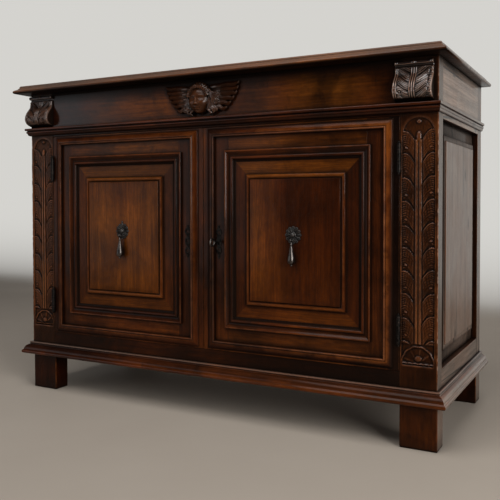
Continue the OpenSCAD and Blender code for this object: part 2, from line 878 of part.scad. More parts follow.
// Six rows of feathers, one above another, thickest at the top
module wing() {
    root_x = 16;
    for (i = [0:5])
        translate([root_x, 0, cherub_h * (0.82 - 0.12 * i)])
            rotate([0, 4 * i - 10, 0])
                feather(wing_reach - root_x - 12 * abs(i - 1.4), cherub_h * 0.15, 13 - 1.4 * i);
}

// One curl of hair, a stepped button on the plane of the frieze
module curl(x, z, r, t) {
    translate([x, 0, z])
        rotate([90, 0, 0])
            union() {
                cylinder(r = r, h = t);
                cylinder(r = r * 0.55, h = t + r * 0.3);
            }
}

// Winged head: an egg-shaped face, a crown of curls and a wing to each side
module cherub_carving() {
    head_r = cherub_h * 0.3;
    curl_r = cherub_h * 0.085;
    color(WALNUT_DARK)
        translate([0, front_y, cherub_z])
            union() {
                intersection() {
                    translate([0, -8, cherub_h * 0.42])
                        rotate_extrude()
                            polygon(concat([[0, -head_r * 1.15]], arc([0, 0], head_r, -55, 90, 12)));
                    block([-head_r - cut, -2 * head_r, -cut], [head_r + cut, 0, cherub_h]);
                }
                for (i = [0:8])
                    let (a = -20 + 27.5 * i)
                        curl(head_r * 1.02 * cos(a), cherub_h * 0.5 + head_r * 1.12 * sin(a),
                             curl_r, 17 + (i % 3));
                wing();
                mirror([1, 0, 0])
                    wing();
            }
}

module door_hinge_stile() {
    color(WALNUT)
        difference() {
            block([panel_x1, front_y, door_z0], [door_x1, door_back_y, door_z1]);
            door_mortises(panel_x1, 1);
            hinge_pockets(door_x1, -1);
        }
}

// Long groove of a stile for the panel and the tenons of the rails
module door_mortises(x, dir) {
    y0 = front_y + door_groove_y - joint_gap;
    y1 = y0 + door_tongue_t + 2 * joint_gap;
    g = groove_d + joint_gap;
    block([min(x - dir, x + dir * g), y0, door_z0 + tenon_shoulder],
          [max(x - dir, x + dir * g), y1, door_z1 - tenon_shoulder]);
    for (span = [[door_z0, panel_z0], [panel_z1, door_z1]])
        block([min(x - dir, x + dir * (tenon_len + joint_gap)), y0, span[0] + tenon_shoulder],
              [max(x - dir, x + dir * (tenon_len + joint_gap)), y1, span[1] - tenon_shoulder]);
}

// The right meeting stile also has the key's passage
module door_meeting_stile(keyhole) {
    color(WALNUT)
        difference() {
            block([door_x0, front_y, door_z0], [panel_x0, door_back_y, door_z1]);
            door_mortises(panel_x0, -1);
            if (keyhole)
                translate([key_x, door_back_y + 1, key_z])
                    rotate([90, 0, 0])
                        linear_extrude(door_t + 2)
                            key_slot(key_r + 1);
        }
}

// A keyhole, round above and slotted below
module key_slot(r) {
    circle(r);
    translate([-1.9, -bit_reach - 0.6])
        square([3.8, bit_reach]);
}

module door_rails() {
    y0 = front_y + door_groove_y;
    color(WALNUT)
        for (top = [0, 1])
            difference() {
                union() {
                    block([panel_x0, front_y, top ? panel_z1 : door_z0],
                          [panel_x1, door_back_y, top ? door_z1 : panel_z0]);
                    block([panel_x0 - tenon_len, y0, (top ? panel_z1 : door_z0) + tenon_shoulder + joint_gap],
                          [panel_x1 + tenon_len, y0 + door_tongue_t,
                           (top ? door_z1 : panel_z0) - tenon_shoulder - joint_gap]);
                }
                block([panel_x0 - tenon_len - cut, y0 - joint_gap, panel_z0 - groove_d - joint_gap],
                      [panel_x1 + tenon_len + cut, y0 + door_tongue_t + joint_gap,
                       panel_z1 + groove_d + joint_gap]);
            }
}

// Rise of the panel's face from its margin to the raised field, as [inward, forward] points
function field_profile(w, rise) = concat(
    [[0, 0], [0, rise * 0.22]],
    bow([w * 0.06, rise * 0.22], [w * 0.5, rise * 0.62], rise * 0.1, 6),
    [[w * 0.55, rise * 0.62], [w * 0.55, rise * 0.7]],
    bow([w * 0.6, rise * 0.7], [w, rise], rise * 0.05, 5)
);

// A raised block on the face at y, moulded alike on all four edges
module raised_field(y, x0, x1, z0, z1, w, rise) {
    edge = field_profile(w, rise);
    n = len(edge);
    lvl = concat([[x0, -1]], [for (p = edge) [x0 + p[0], p[1]]],
                 [for (i = [n - 1 : -1 : 0]) [x1 - edge[i][0], edge[i][1]]], [[x1, -1]]);
    upr = concat([[z0, -1]], [for (p = edge) [z0 + p[0], p[1]]],
                 [for (i = [n - 1 : -1 : 0]) [z1 - edge[i][0], edge[i][1]]], [[z1, -1]]);
    intersection() {
        translate([0, y, z0])
            linear_extrude(z1 - z0)
                polygon([for (p = lvl) [p[0], -p[1]]]);
        translate([x0, y, 0])
            rotate([90, 0, 90])
                linear_extrude(x1 - x0)
                    polygon([for (p = upr) [-p[1], p[0]]]);
    }
}

module door_panel() {
    y0 = front_y + margin_sink;
    ty = front_y + door_groove_y;
    g = groove_d - joint_gap;
    color(WALNUT_LIGHT)
        union() {
            block([panel_x0 + joint_gap, y0, panel_z0 + joint_gap],
                  [panel_x1 - joint_gap, y0 + panel_t, panel_z1 - joint_gap]);
            block([panel_x0 - g, ty, panel_z0 - g],
                  [panel_x1 + g, ty + door_tongue_t, panel_z1 + g]);
            raised_field(y0, panel_x0 + field_in, panel_x1 - field_in,
                         panel_z0 + field_in, panel_z1 - field_in, field_bead_w, field_rise + margin_sink);
        }
}

module door_outer_moulding() {
    color(WALNUT_LIGHT)
        door_frame_moulding(outer_profile(outer_mould_w, outer_mould_p), outer_mould_w, front_y,
                            door_x0 + strip_side, door_x1 - strip_side,
                            door_z0 + strip_end, door_z1 - strip_end);
}

module door_inner_moulding() {
    color(WALNUT)
        door_frame_moulding(inner_profile(inner_mould_w, inner_mould_p, inner_lap, margin_sink),
                            inner_mould_w, front_y, panel_x0 - inner_lap, panel_x1 + inner_lap,
                            panel_z0 - inner_lap, panel_z1 + inner_lap);
}

// Pierced plate with lobed ends
module door_escutcheon() {
    w = escutcheon_w / 2;
    h = escutcheon_h / 2;
    color(IRON)
        translate([key_x, front_y, key_z])
            rotate([90, 0, 0])
                linear_extrude(escutcheon_t)
                    difference() {
                        union() {
                            translate([-w * 0.8, -h * 0.5])
                                square([w * 1.6, h]);
                            for (s = [-1, 1]) {
                                translate([0, s * h * 0.5])
                                    circle(w);
                                translate([0, s * (h - w * 0.62)])
                                    circle(w * 0.62);
                                translate([-w * 0.4, min(s * h * 0.5, s * (h - w))])
                                    square([w * 0.8, h * 0.5 - w]);
                            }
                            circle(w);
                        }
                        key_slot(key_r + 0.4);
                        for (s = [-1, 1])
                            translate([0, s * h * 0.5 + (s < 0 ? -2 : 2)])
                                circle(w * 0.35);
                    }
}

// Petalled plate with a boss and two ears that hold the pivot pin of the drop
module door_rosette() {
    petal_r = rosette_r * PI / petal_n * 0.95;
    ear_x = lug_half + ear_gap;
    color(IRON)
        translate([panel_mid_x, field_y, handle_z])
            union() {
                rotate([90, 0, 0])
                    linear_extrude(rosette_t)
                        union() {
                            circle(rosette_r - petal_r);
                            for (i = [0 : petal_n - 1])
                                rotate(i * 360 / petal_n)
                                    translate([rosette_r - petal_r, 0])
                                        circle(petal_r);
                        }
                intersection() {
                    translate([0, -rosette_t, 0])
                        sphere(boss_r);
                    block([-boss_r, -rosette_t - boss_r, -boss_r], [boss_r, 0, boss_r]);
                }
                for (s = [-1, 1])
                    translate([s * (ear_x + ear_t / 2) - ear_t / 2, 0, -pivot_down])
                        union() {
                            block([0, -pivot_out, -pivot_r - 1.6], [ear_t, 0, pivot_r + 1.6]);
                            translate([0, -pivot_out, 0])
                                rotate([0, 90, 0])
                                    cylinder(r = pivot_r + 1.6, h = ear_t);
                        }
                translate([-ear_x - ear_t, -pivot_out, -pivot_down])
                    rotate([0, 90, 0])
                        cylinder(r = pivot_r, h = 2 * (ear_x + ear_t));
            }
}

// Half outline of the pear-shaped drop, as [radius, height below the pivot] points
function drop_outline(r, l) = concat(
    [[0, -l]],
    arc([0, -l + r * 0.34], r * 0.34, -90, 40, 6),
    [[r * 0.3, -l + r * 0.62]],
    arc([0, -l + r * 1.75], r, -70, 25, 10),
    bow([r * 0.88, -l + r * 2.3], [r * 0.26, -lug_r - 2], -r * 0.2, 10),
    [[r * 0.26, 0], [0, 0]]
);

module door_drop() {
    color(STEEL)
        translate([panel_mid_x, pivot_y, pivot_z])
            difference() {
                union() {
                    rotate_extrude()
                        polygon(drop_outline(drop_r, drop_len));
                    translate([-lug_half, 0, 0])
                        rotate([0, 90, 0])
                            cylinder(r = lug_r, h = 2 * lug_half);
                }
                translate([-lug_half - 1, 0, 0])
                    rotate([0, 90, 0])
                        cylinder(r = pivot_r + pivot_clear, h = 2 * lug_half + 2);
            }
}

// A hinge leaf in the joint face at x, toward dir, with the given knuckles of the barrel
module hinge_leaf(z, x, dir, knuckles) {
    difference() {
        union() {
            for (k = knuckles)
                translate([hinge_x, hinge_y, z - hinge_len / 2 + k * (knuckle_h + knuckle_gap)])
                    cylinder(r = barrel_r, h = knuckle_h);
            intersection() {
                block([min(x, x + dir * leaf_t), hinge_y, z - leaf_h / 2],
                      [max(x, x + dir * leaf_t), front_y + leaf_d, z + leaf_h / 2]);
                union() {
                    block([hinge_x - leaf_d, front_y + joint_gap, z - leaf_h / 2],
                          [hinge_x + leaf_d, front_y + 2 * leaf_d, z + leaf_h / 2]);
                    for (k = knuckles)
                        translate([hinge_x - leaf_d, hinge_y,
                                   z - hinge_len / 2 + k * (knuckle_h + knuckle_gap)])
                            cube([2 * leaf_d, 2 * leaf_d, knuckle_h]);
                }
            }
        }
        translate([hinge_x, hinge_y, z - hinge_len / 2 - 1])
            cylinder(r = pin_r + pin_clear, h = hinge_len + 2);
    }
}

module post_hinge_leaves() {
    color(IRON)
        for (s = [0, 1])
            mirror([s, 0, 0])
                for (z = hinge_zs)
                    hinge_leaf(z, open_half, 1, [0, 2]);
}

module door_hinge_leaves() {
    color(IRON)
        for (z = hinge_zs)
            hinge_leaf(z, door_x1, -1, [1]);
}

// Half outline of a hinge finial: a collar of radius r and a ball
function finial_outline(r) = concat([[0, 0], [r, 0], [r, 1.2]], arc([0, 4], 3, -50, 90, 8));

// A pin with a turned finial at each end
module hinge_pins() {
    color(IRON)
        for (s = [0, 1])
            mirror([s, 0, 0])
                for (z = hinge_zs)
                    translate([hinge_x, hinge_y, z])
                        union() {
                            translate([0, 0, -hinge_len / 2 - 1])
                                cylinder(r = pin_r, h = hinge_len + 2);
                            for (t = [0, 1])
                                mirror([0, 0, t])
                                    translate([0, 0, hinge_len / 2])
                                        rotate_extrude()
                                            polygon(finial_outline(barrel_r * 0.8));
                        }
}

// Rim lock on the back of the right door, open to the wood, with a slot for its bolt
module lock_case() {
    y0 = door_back_y;
    color(IRON)
        difference() {
            block([case_x0, y0, case_z0], [case_x1, case_back_y, case_z1]);
            block([case_x0 + case_wall, y0 - 1, case_z0 + case_wall],
                  [case_x1 - case_wall, case_back_y - case_wall, case_z1 - case_wall]);
            block([case_x0 - 1, bolt_y0 - 0.3, bolt_z0 - 0.3],
                  [case_x0 + case_wall + 1, bolt_y0 + bolt_t + 0.3, bolt_z1 + 0.3]);
            translate([key_x, case_back_y + 1, key_z])
                rotate([90, 0, 0])
                    cylinder(r = key_r + key_clear, h = case_wall + 2);
        }
}

module lock_bolt() {
    color(STEEL)
        difference() {
            block([case_x0 - 1, bolt_y0, bolt_z0], [case_x1 - case_wall - 3, bolt_y0 + bolt_t, bolt_z1]);
            block([notch_x0, bolt_y0 - cut, bolt_z0 - cut],
                  [notch_x0 + notch_w, bolt_y0 + bolt_t + cut, bolt_z0 + notch_h]);
        }
}

// Key with a ring bow, a collar, a shank and a bit that hangs down inside the lock
module key() {
    shank_y0 = front_y - bow_out + bow_r;
    color(STEEL)
        translate([key_x, 0, key_z])
            union() {
                translate([0, front_y - bow_out, 0])
                    rotate([0, 90, 0])
                        rotate_extrude()
                            translate([bow_r, 0])
                                circle(bow_wire_r);
                translate([0, case_back_y, 0])
                    rotate([90, 0, 0])
                        cylinder(r = key_r, h = case_back_y - shank_y0);
                translate([0, shank_y0 + 6, 0])
                    rotate([90, 0, 0])
                        cylinder(r = key_r + 1.2, h = 4);
                block([-1.5, door_back_y + 3, -bit_reach], [1.5, door_back_y + 9, 0]);
            }
}

// Flat iron bolt with a knob, that slides up behind the frieze
module slide_bolt() {
    y0 = door_back_y + slide_gap;
    color(STEEL)
        union() {
            block([slide_x - slide_w / 2, y0, slide_z1 - slide_len],
                  [slide_x + slide_w / 2, y0 + slide_t, slide_z1]);
            translate([slide_x, y0 + slide_t - 0.5, slide_knob_z])
                rotate([-90, 0, 0])
                    cylinder(r = 4.5, h = 12.5);
        }
}

// Two staples that hold the slide bolt against the door
module bolt_staples() {
    inner = slide_w / 2 + slide_gap;
    outer = inner + staple_t;
    depth = slide_gap + slide_t + slide_gap;
    color(IRON)
        for (z = staple_zs)
            difference() {
                union() {
                    block([slide_x - outer, door_back_y, z],
                          [slide_x + outer, door_back_y + depth + staple_t, z + staple_h]);
                    block([slide_x - outer - 8, door_back_y, z],
                          [slide_x + outer + 8, door_back_y + staple_t, z + staple_h]);
                }
                block([slide_x - inner, door_back_y - 1, z - 1],
                      [slide_x + inner, door_back_y + depth, z + staple_h + 1]);
            }
}

module left_door_hinge_stile() left() door_hinge_stile();
module left_door_meeting_stile() left() door_meeting_stile(false);
module left_door_rails() left() door_rails();
module left_door_panel() left() door_panel();
module left_door_outer_moulding() left() door_outer_moulding();
module left_door_inner_moulding() left() door_inner_moulding();
module left_door_escutcheon() left() door_escutcheon();
module left_door_rosette() left() door_rosette();
module left_door_drop() left() door_drop();
module left_door_hinge_leaves() left() door_hinge_leaves();
module left_door_slide_bolt() left() slide_bolt();
module left_door_bolt_staples() left() bolt_staples();
module right_door_hinge_stile() door_hinge_stile();
module right_door_meeting_stile() door_meeting_stile(true);
module right_door_rails() door_rails();
module right_door_panel() door_panel();
module right_door_outer_moulding() door_outer_moulding();
module right_door_inner_moulding() door_inner_moulding();
module right_door_escutcheon() door_escutcheon();
module right_door_rosette() door_rosette();
module right_door_drop() door_drop();
module right_door_hinge_leaves() door_hinge_leaves();

top_board();
front_post_left();
front_post_right();
rear_post_left();
rear_post_right();
front_bottom_rail();
frieze_front();
frieze_left();
frieze_right();
side_rail_left();
side_rail_right();
side_panel_left();
side_panel_right();
rear_rails();
back_boards();
bottom_board();
shelf();
shelf_cleats();
waist_moulding_front();
waist_moulding_left();
waist_moulding_right();
base_moulding_front();
base_moulding_left();
base_moulding_right();
foot_front_left();
foot_front_right();
foot_rear_left();
foot_rear_right();
cherub_carving();
corbel_left();
corbel_right();
post_hinge_leaves();
hinge_pins();
left_door_hinge_stile();
left_door_meeting_stile();
left_door_rails();
left_door_panel();
left_door_outer_moulding();
left_door_inner_moulding();
left_door_escutcheon();
left_door_rosette();
left_door_drop();
left_door_hinge_leaves();
left_door_slide_bolt();
left_door_bolt_staples();
right_door_hinge_stile();
right_door_meeting_stile();
right_door_rails();
right_door_panel();
right_door_outer_moulding();
right_door_inner_moulding();
right_door_escutcheon();
right_door_rosette();
right_door_drop();
right_door_hinge_leaves();
lock_case();
lock_bolt();
key();
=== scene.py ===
import json
import random
from math import copysign, cos, pi, radians, sin

import bmesh
import bpy
import numpy as np
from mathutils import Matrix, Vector

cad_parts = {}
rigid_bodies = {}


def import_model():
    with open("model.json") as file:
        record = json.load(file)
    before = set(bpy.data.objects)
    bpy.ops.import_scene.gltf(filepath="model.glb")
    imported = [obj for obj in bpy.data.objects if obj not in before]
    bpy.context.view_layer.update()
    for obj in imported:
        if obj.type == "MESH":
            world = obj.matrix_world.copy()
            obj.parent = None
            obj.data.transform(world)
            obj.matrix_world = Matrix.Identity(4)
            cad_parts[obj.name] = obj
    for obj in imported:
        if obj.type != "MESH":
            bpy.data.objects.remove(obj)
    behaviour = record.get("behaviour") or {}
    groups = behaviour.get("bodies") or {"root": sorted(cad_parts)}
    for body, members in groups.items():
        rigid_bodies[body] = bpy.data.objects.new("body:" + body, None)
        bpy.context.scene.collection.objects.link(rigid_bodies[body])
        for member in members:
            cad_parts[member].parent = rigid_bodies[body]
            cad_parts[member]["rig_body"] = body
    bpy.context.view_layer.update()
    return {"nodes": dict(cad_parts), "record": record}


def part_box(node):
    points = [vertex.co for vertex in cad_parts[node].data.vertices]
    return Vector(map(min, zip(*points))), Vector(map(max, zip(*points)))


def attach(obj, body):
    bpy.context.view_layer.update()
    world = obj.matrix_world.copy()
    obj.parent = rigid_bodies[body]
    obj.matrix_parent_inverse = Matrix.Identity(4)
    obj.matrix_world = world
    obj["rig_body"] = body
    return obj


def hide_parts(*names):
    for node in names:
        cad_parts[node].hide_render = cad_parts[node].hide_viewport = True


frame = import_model()
NODES = frame["nodes"]
SLOT = {part["node"]: part["material_slot"] for part in frame["record"]["subparts"]}

# Sizes and places are written in millimetres; MM turns them into metres.
MM = 0.001
# The front face of the posts and the frieze.
FRONT = -232.5


# Shader helpers

class Wire:
    """A value inside a shader; plain arithmetic on it makes the nodes."""

    def __init__(self, shader, socket):
        self.shader = shader
        self.socket = socket

    def __add__(self, other):
        return self.shader.math("ADD", self, other)

    def __sub__(self, other):
        return self.shader.math("SUBTRACT", self, other)

    def __rsub__(self, other):
        return self.shader.math("SUBTRACT", other, self)

    def __mul__(self, other):
        return self.shader.math("MULTIPLY", self, other)

    def clamp(self):
        self.socket.node.use_clamp = True
        return self


class Shader:
    """Short names for the shader nodes of one material."""

    def __init__(self, name):
        self.mat = bpy.data.materials.new(name)
        self.mat.use_nodes = True
        self.tree = self.mat.node_tree
        self.bsdf = self.tree.nodes["Principled BSDF"]

    def put(self, value, socket):
        if isinstance(value, Wire):
            self.tree.links.new(value.socket, socket)
        elif socket.type == "RGBA":
            socket.default_value = (*value, 1)
        else:
            socket.default_value = value

    def make(self, kind, output, inputs=None, **settings):
        """Adds a node, fills its inputs and gives one of its outputs."""
        node = self.tree.nodes.new(kind)
        for key, value in settings.items():
            setattr(node, key, value)
        for key, value in (inputs or {}).items():
            self.put(value, node.inputs[key])
        return Wire(self, node.outputs[output])

    def attr(self, name, output="Fac"):
        return self.make("ShaderNodeAttribute", output, attribute_name=name)

    def here(self):
        return self.make("ShaderNodeTexCoord", "Object")

    def math(self, op, *values):
        return self.make("ShaderNodeMath", 0, dict(enumerate(values)), operation=op)

    def times(self, vector, factors):
        return self.make("ShaderNodeVectorMath", "Vector", {0: vector, 1: factors}, operation="MULTIPLY")

    def length(self, vector, factors):
        inputs = {0: self.times(vector, factors)}
        return self.make("ShaderNodeVectorMath", "Value", inputs, operation="LENGTH")

    def noise(self, vector, scale, detail=3.0, rough=0.55, warp=0.0):
        """Noise at one scale, or at three of them, one along each axis."""
        if isinstance(scale, tuple):
            vector = self.times(vector, scale)
            scale = 1.0
        inputs = {"Vector": vector, "Scale": scale, "Detail": detail, "Roughness": rough, "Distortion": warp}
        return self.make("ShaderNodeTexNoise", "Fac", inputs)

    def remap(self, value, a, b, lo=0.0, hi=1.0):
        inputs = {"Value": value, "From Min": a, "From Max": b, "To Min": lo, "To Max": hi}
        return self.make("ShaderNodeMapRange", "Result", inputs, interpolation_type="SMOOTHSTEP")

    def ramp(self, value, stops):
        out = self.make("ShaderNodeValToRGB", "Color", {"Fac": value})
        elements = out.socket.node.color_ramp.elements
        while len(elements) < len(stops):
            elements.new(0.5)
        for item, (place, colour) in zip(elements, stops):
            item.position = place
            item.color = (*colour, 1)
        return out

    def mix(self, amount, a, b, blend="MIX"):
        inputs = {"Factor": amount, "A": a, "B": b}
        return self.make("ShaderNodeMix", "Result", inputs, data_type="RGBA", blend_type=blend)

    def darken(self, colour, value):
        """The colour times one value, which may also lighten it."""
        grey = self.make("ShaderNodeCombineColor", "Color", {0: value, 1: value, 2: value})
        return self.mix(1.0, colour, grey, "MULTIPLY")

    def bump(self, height, distance, normal=None):
        inputs = {"Distance": distance, "Height": height}
        if normal:
            inputs["Normal"] = normal
        return self.make("ShaderNodeBump", "Normal", inputs)

    def crevice(self, distance):
        return self.make("ShaderNodeAmbientOcclusion", "AO", {"Distance": distance}, samples=5)

    def finish(self, **inputs):
        for key, value in inputs.items():
            self.put(value, self.bsdf.inputs[key.replace("_", " ")])
        return self.mat


# Materials

def grain_figure(s, g, streak, figure):
    """How light the wood is: rings, flames, streaks, fibres and flecks."""
    radius = s.length(g, (0, 1, 1)) + s.noise(g, (2.2, 9, 9)) * 0.06
    ring = s.math("SINE", radius * 900)
    flame = s.noise(g, (1.6, 22, 22), 3, 0.5, 0.6)
    fibre = s.noise(g, (22, 700, 700), 3, 0.6)
    fleck = s.noise(g, (30, 110, 110), 4, 0.6)
    t = ring * (0.05 * figure) + flame * figure + (streak - 0.5) * 0.75 + (fibre - 0.5) * 0.35
    return t - (0.5 * figure - 0.5) + (fleck - 0.5) * 0.5


def patinate(s, colour, here, tone, patch, patina):
    """Patches of old polish; a low tone turns redder and a high one yellower."""
    cloud = s.noise(here, 2.3, 2, 0.5)
    smudge = s.remap(s.noise(here, (13, 13, 7.8), 4, 0.65, 0.8), 0.56, 0.7)
    shade = s.remap(patch, 0.3, 0.7, 1 - 0.5 * patina, 1 + 0.6 * patina)
    shade = shade * s.remap(cloud, 0.35, 0.65, 1 - 0.3 * patina, 1 + 0.3 * patina)
    shade = shade * (1.0 - smudge * (0.45 * patina)) * (tone + 1.0)
    colour = s.darken(colour, shade)
    for amount, tint in ((s.remap(tone, -0.1, -0.6, 0.0, 0.7), (1.0, 0.72, 0.62)),
                         (s.remap(tone, 0.15, 0.6, 0.0, 0.8), (1.0, 1.25, 1.0)),
                         (s.remap(cloud, 0.4, 0.62, 0.0, 0.5 * patina), (1.0, 1.28, 1.1))):
        colour = s.mix(amount, colour, tint, "MULTIPLY")
    return colour


def outward_side(s, here, amount):
    """Where the surface looks outward on one of the sides, which are made pale."""
    normal = s.make("ShaderNodeTexCoord", "Normal")
    product = s.make("ShaderNodeVectorMath", "Vector", {0: normal, 1: here}, operation="MULTIPLY")
    facing = s.make("ShaderNodeSeparateXYZ", "X", {0: product})
    return s.remap(facing, 0.42, 0.56, 0.0, amount) * s.remap(s.length(here, (1, 0, 0)), 0.60, 0.62)


def weather_and_reflection(s, colour, g, lightness, tone, side):
    """Pale dried-out wood with long checks and a few knots; its paleness is also a painted grazing reflection
    of the bright room.
    """
    pale = s.ramp(lightness, [(0.1, (0.070, 0.053, 0.041)), (0.5, (0.130, 0.102, 0.081)),
                              (0.95, (0.20, 0.165, 0.135))])
    colour = s.mix(side * 0.85, colour, s.darken(pale, tone + 1.15))
    line = s.math("ABSOLUTE", s.noise(g, (0.5, 15, 15), 2, 0.3) - 0.5)
    check = s.remap(line, 0.005, 0.020, 1.0, 0.0) * s.remap(s.noise(g, (2.4, 7, 7), 1), 0.47, 0.54)
    spots = s.make("ShaderNodeTexVoronoi", "Distance", {"Vector": s.times(g, (3.0, 7, 7)), "Scale": 1.0},
                   voronoi_dimensions="2D")
    mark = s.math("MAXIMUM", check, s.remap(spots, 0.02, 0.08, 0.85, 0.0))
    return s.mix((mark * (side * 1.2)).clamp(), colour, (0.010, 0.006, 0.004))


def wood(name, dark, mid, light, worn, gloss=(0.32, 0.5), figure=1.0, patina=1.0, coat=0.14, dirt=1.0,
         shine=0.06, pale_side=0.75, film=0.13, lacquer=1.5):
    """Old waxed wood. The grain attribute holds (along, across, through) for each board."""
    s = Shader(name)
    g = s.attr("grain", "Vector")
    tone = s.attr("tone")
    here = s.here()
    streak = s.noise(g, (3.0, 130, 130), 6, 0.62)
    pores = s.remap(s.noise(g, (70, 1700, 1700), 1), 0.60, 0.68)
    patch = s.noise(here, 6.5, 4, 0.6, 0.4)
    lightness = grain_figure(s, g, streak, figure)
    colour = s.ramp(lightness, [(0.0, dark), (0.5, mid), (1.0, light)])
    colour = patinate(s, colour, here, tone, patch, patina)
    colour = s.mix(pores * 0.55, colour, dark)
    if pale_side:
        side = outward_side(s, here, pale_side)
        colour = weather_and_reflection(s, colour, g, lightness + (streak - 0.5) * 1.5, tone, side)
    # Occlusion within 12 and 55 mm darkens creases, recesses and the places between parts: painted shade,
    # mixed in with the dirt that the mesh carries.
    near = s.crevice(0.012)
    # The worn colour on rubbed arrises and crests is real wear and also a painted highlight on crests, lips
    # and rims; it stays out of creases.
    rub_and_highlight = s.attr("wear_and_highlight") * s.remap(s.noise(here, 30, 5, 0.65), 0.35, 0.65, 0.1, 1.0)
    colour = s.mix(rub_and_highlight * s.remap(near, 0.55, 0.9), colour, worn)
    # A pale pinkish colour: knocked chips on the posts, and painted highlights on carvings, the nosing and
    # moulding crests.
    colour = s.mix(s.attr("chip"), colour, (0.23, 0.15, 0.11))
    shadow = s.remap(s.crevice(0.055), 0.45, 0.97, 0.78 * dirt, 0.0)
    colour = s.mix(shadow, colour, (0.004, 0.0016, 0.0008))
    grime_and_shade = (s.remap(near, 0.4, 0.95, 1.0, 0.0) * (0.9 * dirt) + s.attr("dirt")).clamp()
    colour = s.mix(grime_and_shade, colour, (0.004, 0.002, 0.0014))
    rough = (s.remap(patch, 0.3, 0.7, *gloss) + grime_and_shade * 0.3 + (streak - 0.5) * 0.25).clamp()
    relief = streak * 0.9 - pores * 0.6 + s.noise(here, 160) * 0.35
    normal = s.bump(relief, 0.00035, s.bump(s.noise(here, 9, 2), 0.0035))
    if pale_side:
        coat = (side * 0.42 + s.attr("sheen") + coat).clamp() * (1.0 - grime_and_shade * 0.85)
    return s.finish(Base_Color=colour, Roughness=rough, Normal=normal, Specular_IOR_Level=shine,
                    Specular_Tint=(1, 0.72, 0.5), Coat_Roughness=film, Coat_Weight=coat, Coat_IOR=lacquer)


def iron(name, dark, bright, rough, rust, hammer):
    s = Shader(name)
    here = s.here()
    spots = s.noise(here, 240, 4, 0.6)
    colour = s.ramp(s.noise(here, 60, 5, 0.65), [(0.3, dark), (0.7, bright)])
    # Worn places turn bright: worn iron, and on the rosettes painted glints as well.
    colour = s.mix(s.attr("wear_and_highlight"), colour, tuple(min(1, c * 2.2 + 0.04) for c in bright))
    colour = s.mix(s.attr("dirt"), colour, (0.003, 0.0025, 0.002))
    rusty = s.remap(spots, 0.52, 0.66) * rust
    colour = s.mix(rusty, colour, (0.045, 0.018, 0.008))
    dents = s.bump(s.noise(here, 420), 0.3 * hammer, s.bump(s.noise(here, 110, 2), hammer))
    return s.finish(Base_Color=colour, Roughness=(s.remap(spots, 0.3, 0.7, *rough) + rusty * 0.25).clamp(),
                    Metallic=(1.0 - rusty * 0.8).clamp(), Normal=dents)


# The colour of wear, which also serves as a painted highlight.
WORN_AND_HIGHLIGHT = (0.16, 0.045, 0.009)
MATERIALS = {
    "walnut_top": wood("walnut_top", (0.014, 0.0040, 0.0011), (0.046, 0.0115, 0.0022), (0.11, 0.029, 0.006),
                       WORN_AND_HIGHLIGHT, coat=0.3),
    "walnut_frame": wood("walnut_frame", (0.010, 0.0024, 0.0006), (0.044, 0.0092, 0.0012),
                         (0.115, 0.026, 0.003), WORN_AND_HIGHLIGHT),
    "walnut_panel": wood("walnut_panel", (0.015, 0.0034, 0.0007), (0.062, 0.0132, 0.0014),
                         (0.15, 0.034, 0.0035), WORN_AND_HIGHLIGHT, figure=0.8, coat=0.12, patina=0.65),
    "walnut_moulding": wood("walnut_moulding", (0.011, 0.0026, 0.0006), (0.048, 0.0088, 0.0010),
                            (0.13, 0.028, 0.003), WORN_AND_HIGHLIGHT, gloss=(0.28, 0.42), coat=0.22, film=0.12),
    "walnut_carving": wood("walnut_carving", (0.009, 0.0026, 0.0008), (0.032, 0.0080, 0.0016),
                           (0.08, 0.021, 0.0045), (0.18, 0.055, 0.016), gloss=(0.3, 0.46), coat=0.07,
                           film=0.24, figure=0.6, shine=0.08, lacquer=1.9),
    "inside_wood": wood("inside_wood", (0.075, 0.042, 0.022), (0.16, 0.098, 0.055), (0.26, 0.17, 0.10),
                        (0.22, 0.14, 0.085), gloss=(0.62, 0.9), coat=0.0, patina=0.8, dirt=0.7, pale_side=0.0),
    "wrought_iron": iron("wrought_iron", (0.006, 0.0055, 0.005), (0.022, 0.020, 0.018), (0.34, 0.6), 0.5,
                         0.0003),
    "polished_iron": iron("polished_iron", (0.035, 0.030, 0.027), (0.12, 0.105, 0.095), (0.26, 0.36), 0.12,
                          0.000012),
}


# Making pieces

def read(items, key, width=1, kind=np.float32):
    """One property of all items of a mesh, with a row for each."""
    flat = np.empty(len(items) * width, kind)
    items.foreach_get(key, flat)
    values = flat if kind == np.int32 else flat.astype(float)
    return values.reshape(-1, width) if width > 1 else values


def store(mesh, name, values, kind="FLOAT", domain="POINT"):
    data = (mesh.attributes.get(name) or mesh.attributes.new(name, kind, domain)).data
    data.foreach_set("vector" if kind == "FLOAT_VECTOR" else "value", np.asarray(values, np.float32).ravel())


def coords(mesh):
    return read(mesh.vertices, "co", 3)


def attribute(mesh, name):
    return read(mesh.attributes[name].data, "value")


def box(node):
    """The corners of a CAD node."""
    return [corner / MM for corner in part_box(node)]


def islands(mesh):
    """A label for each vertex, the same over each loose solid."""
    label = np.arange(len(mesh.vertices))
    e = read(mesh.edges, "vertices", 2, np.int32)
    while True:
        low = np.minimum(label[e[:, 0]], label[e[:, 1]])
        new = label.copy()
        np.minimum.at(new, e[:, 0], low)
        np.minimum.at(new, e[:, 1], low)
        new = new[new]
        if (new == label).all():
            return label
        label = new


